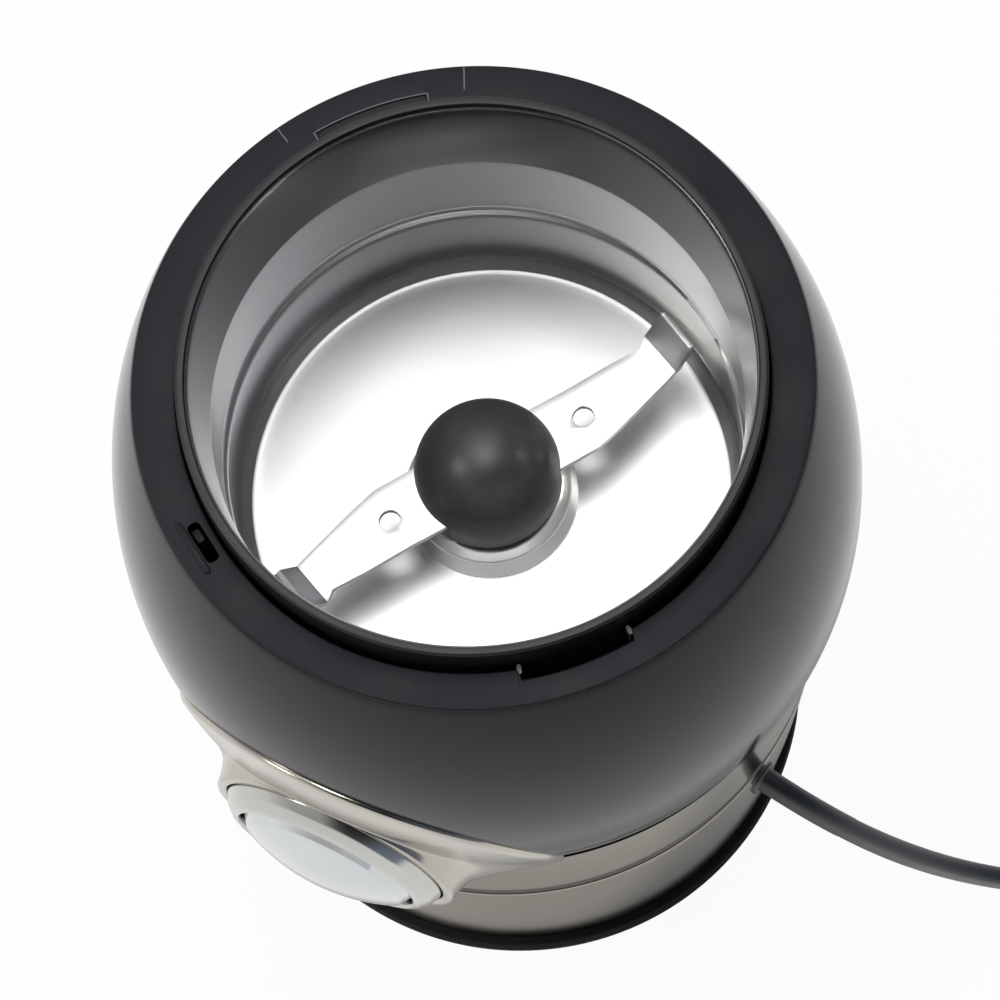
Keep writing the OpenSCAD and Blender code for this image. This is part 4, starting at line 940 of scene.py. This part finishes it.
def tip_point(x, y, lift):
    """Where a point of the flat blank ends up once the tip is bent up: lift is its height in the sheet."""
    along = (bend_high - bend_low).normalized()
    out = Vector((along.y, -along.x))
    past = (Vector((x, y)) - bend_low).dot(out)
    side = (Vector((x, y)) - bend_low).dot(along)
    bend = math.radians(tip_angle)
    past += bend_r * bend / 2
    if past <= 0:
        reach, rise, lean = past, 0.0, 0.0
    elif past < bend_r * bend:
        lean = past / bend_r
        reach, rise = bend_r * math.sin(lean), bend_r * (1 - math.cos(lean))
    else:
        lean = bend
        rest = past - bend_r * bend
        reach = bend_r * math.sin(bend) + rest * math.cos(bend)
        rise = bend_r * (1 - math.cos(bend)) + rest * math.sin(bend)
    reach -= bend_r * bend / 2 + lift * math.sin(lean)
    rise += lift * math.cos(lean)
    flat = bend_low + out * reach + along * side
    return Vector((flat.x, flat.y, rise))


# Pairs of points on the two edges of one arm, from the axis to the end of its tip
arm_pairs = [
    ((0, -5.1), (0, 4.7)), ((6, -5.1), (6, 4.85)), ((9.2, -5.0), (9.2, 5.0)), ((12.4, -4.85), (11.6, 5.05)),
    ((15.6, -4.7), (14.4, 5.1)), ((19.0, -3.7), (18.0, 5.3)), ((22.4, -2.6), (22.0, 5.55)),
    ((25.6, -1.5), (25.2, 5.6)), ((28.4, -0.55), (27.3, 5.6)), ((29.6, -0.1), (28.3, 6.5)),
]
tip_high = Vector((29.4, 7.1))
tip_out = Vector(((tip_high - bend_low).y, -(tip_high - bend_low).x)).normalized()
for past, taper in ((-0.5, 0), (-0.2, 0), (0.1, 0), (0.4, 0), (0.8, 0), (2.2, 0.05), (4.2, 0.1),
                    (5.6, 0.15), (6.1, 0.25)):
    # The tip's end is cut askew
    low = bend_low + tip_out * (past - (0.5 if past > 6 else 0)) + Vector((0, taper))
    high = tip_high + tip_out * past - Vector((0, taper))
    arm_pairs.append((tuple(low), tuple(high)))


def blade_shape(across=6):
    """The shape of both arms: the blank in rows across it, bent and given its thickness."""
    rows = []
    for side, pairs in ((-1, arm_pairs[::-1]), (1, arm_pairs[1:])):
        for low, high in pairs:
            row = []
            for lift, shares in ((blade_t, evenly(0, 1, across)), (0.0, evenly(1, 0, across))):
                for share in shares:
                    x, y = low[0] + (high[0] - low[0]) * share, low[1] + (high[1] - low[1]) * share
                    p = tip_point(x, y, lift)
                    row.append((side * p.x, side * p.y, p.z))
            if side < 0:
                # The far arm is the near one turned round, so its rows run the other way
                row = row[across::-1] + row[:across:-1]
            rows.append(row)
    return lofted(rows)


def drill(x, y, r, steps):
    """A round cutter through the blade."""
    return lofted([[(x + r * math.cos(a), y + r * math.sin(a), z) for a in evenly(0, math.tau, steps)[:-1]]
                   for z in (blade_z - 1.4, blade_z + 2.6)])


on_blade = Matrix.Translation((0, 0, blade_z)) @ Matrix.Rotation(math.radians(blade_turn), 4, "Z")
blade = make("blade_plate", blade_shape(), blade_steel, "rotor", ("blade",), on_blade)
arm_holes = [on_blade @ Vector((side * blade_hole_at, side * 0.4, 0)) for side in (-1, 1)]
carve(blade, *[drill(hole.x, hole.y, blade_hole_r, 32) for hole in arm_holes], drill(0, 0, neck_r, 40))
soften(blade, 0.16, 40)

cap_bore_r, notch_w = 7.3, 11.0
cap_dome = [(cap_r * math.cos(a), cap_mid + cap_r * math.sin(a)) for a in evenly(0, math.pi / 2, 28)[:-1]]
cap = make("nut_cap", turned([
    (cap_r - 0.9, cap_low), (cap_r - 0.35, cap_low), (cap_r - 0.1, cap_low + 0.1), (cap_r, cap_low + 0.35),
    (cap_r, cap_mid - 1.0), *cap_dome, (0.0, cap_mid + cap_r), (0.0, shaft_top + 0.05), (neck_r, shaft_top),
    (neck_r, blade_z + 0.02), (cap_bore_r, blade_z + 0.02), (cap_bore_r, cap_low),
], 128), cap_acetal, "rotor", ("blade_cap",))
# It is notched over the blade's arms
carve(cap, block((-cap_r - 1.5, -notch_w / 2, cap_low - 3.2), (cap_r + 1.5, notch_w / 2, blade_z + blade_t),
                 blade_turn))

# ---- Inner pieces keep their solids and get their materials ----

inner_finish = {
    "base_plate": polyamide, "base_screws": zinc_steel, "chassis": polyamide, "bowl_deck": polyamide,
    "bowl_holder": polyamide, "upper_bush": sintered_bronze, "shaft_seal": nitrile_rubber,
    "drive_shaft": ground_steel, "blade_washer": ground_steel, "motor_plate": cast_aluminium,
    "rubber_mounts": mount_rubber, "stator_core": core_steel, "field_coils": copper_wire,
    "rotor_core": core_steel, "rotor_windings": copper_wire, "commutator": turned_copper,
    "brush_holders": stamped_brass, "carbon_brushes": pressed_carbon, "lower_bracket": cast_aluminium,
    "lower_bush": sintered_bronze, "motor_screws": zinc_steel, "cooling_fan": cream_nylon,
    "button_carrier": polyamide, "button_spring": spring_steel, "power_switch": cream_nylon,
    "switch_plunger": red_acetal, "interlock_spring": spring_steel, "lid_switch": cream_nylon,
    "suppressor": yellow_film, "cord_clamp": polyamide,
}
for node_name, material in inner_finish.items():
    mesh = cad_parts[node_name].data
    mesh.materials.clear()
    mesh.materials.append(material)

# ---- Floor, lamps and world ----

floor_paint, tree, output = new_material("matt_white_floor")
rays = add(tree, "ShaderNodeLightPath").outputs
seen = maths(tree, "MAXIMUM", rays["Is Camera Ray"], rays["Is Transmission Ray"])
# Polished metal mirrors the table's shadow near the foot and plain white paper farther out
shadow_r, paper_r = 58.0, 82.0
place = add(tree, "ShaderNodeTexCoord").outputs["Object"]
spot = add(tree, "ShaderNodeVectorMath", {"operation": "LENGTH"}, {0: place})
near = mapped(tree, spot.outputs["Value"], (shadow_r * MM, paper_r * MM), (0.1, 0.95), "SMOOTHSTEP")
share = maths(tree, "MULTIPLY_ADD", rays["Is Glossy Ray"], near, maths(tree, "MULTIPLY", seen, 0.95))
matt = add(tree, "ShaderNodeBsdfDiffuse", inputs={"Color": linear("#f4f3f1")})
glow = add(tree, "ShaderNodeEmission", inputs={"Color": linear("#ffffff"), "Strength": 1.0})
mix = add(tree, "ShaderNodeMixShader", inputs={
    "Fac": share, 1: matt.outputs["BSDF"], 2: glow.outputs["Emission"]})
tree.links.new(mix.outputs["Shader"], output.inputs["Surface"])
floor_mesh = bpy.data.meshes.new("table_top")
floor_mesh.from_pydata([(-4, -4, 0), (4, -4, 0), (4, 4, 0), (-4, 4, 0)], [], [(0, 1, 2, 3)])
floor_mesh.materials.append(floor_paint)
table = new_object("table_top", floor_mesh)


def softbox(name, at, size, power, colour="#ffffff"):
    """A square area lamp at a point in millimetres, aimed at the middle of the barrel."""
    lamp = bpy.data.lights.new(name, "AREA")
    lamp.shape, lamp.size = "SQUARE", size * MM
    lamp.energy, lamp.color = power, linear(colour)[:3]
    holder = new_object(name, lamp)
    holder.location = Vector(at) * MM
    holder.rotation_mode = "QUATERNION"
    holder.rotation_quaternion = (Vector((0, 0, 90)) - Vector(at)).to_track_quat("-Z", "Y")


softbox("overhead_softbox", (-330, 520, 1090), 1050, 3.4)
softbox("ceiling_lamp", (-90, 110, 1300), 520, 3.9)
softbox("window", (-700, -490, 930), 250, 3.8, "#fffaf2")

world = bpy.data.worlds.new("studio")
bpy.context.scene.world = world
world.use_nodes = True
tree = world.node_tree
tree.nodes.clear()
towards = add(tree, "ShaderNodeTexCoord").outputs["Generated"]


def shaded_round(direction, start, full, left):
    """How much of the light is left, seen each way: it falls softly to left near a direction.

    start and full are the cosines of the angles from it where the fall starts and where it ends.
    """
    lean = add(tree, "ShaderNodeVectorMath", {"operation": "DOT_PRODUCT"}, {0: towards, 1: direction})
    return mapped(tree, lean.outputs["Value"], (start, full), (1.0, left), "SMOOTHSTEP")


# White round the horizon, as a sweep of paper is, and greyer overhead
height = add(tree, "ShaderNodeSeparateXYZ", inputs={"Vector": towards})
sweep = add(tree, "ShaderNodeValToRGB", {
    "stops": [(0.0, grey(1.0)), (0.12, grey(0.95)), (0.45, grey(0.5)), (1.0, grey(0.45))]},
    {"Fac": height.outputs["Z"]})
# The room behind the camera is dark, and the wall to its right is in bluish shade
dark_room = shaded_round((0.316, -0.451, 0.835), 0.8, 0.955, 0.02)
right_wall = shaded_round((0.93, 0.1, 0.35), 0.25, 0.8, 0.45)
level = maths(tree, "MULTIPLY", maths(tree, "MULTIPLY", sweep.outputs["Color"], dark_room), right_wall)
paint = two_tone(tree, right_wall, "#a9bbd6", "#f8f8f8", 0.45, 1.0)
back = add(tree, "ShaderNodeBackground", inputs={"Color": paint, "Strength": level})
ends = add(tree, "ShaderNodeOutputWorld")
tree.links.new(back.outputs["Background"], ends.inputs["Surface"])

bpy.context.scene.view_settings.view_transform = "Standard"
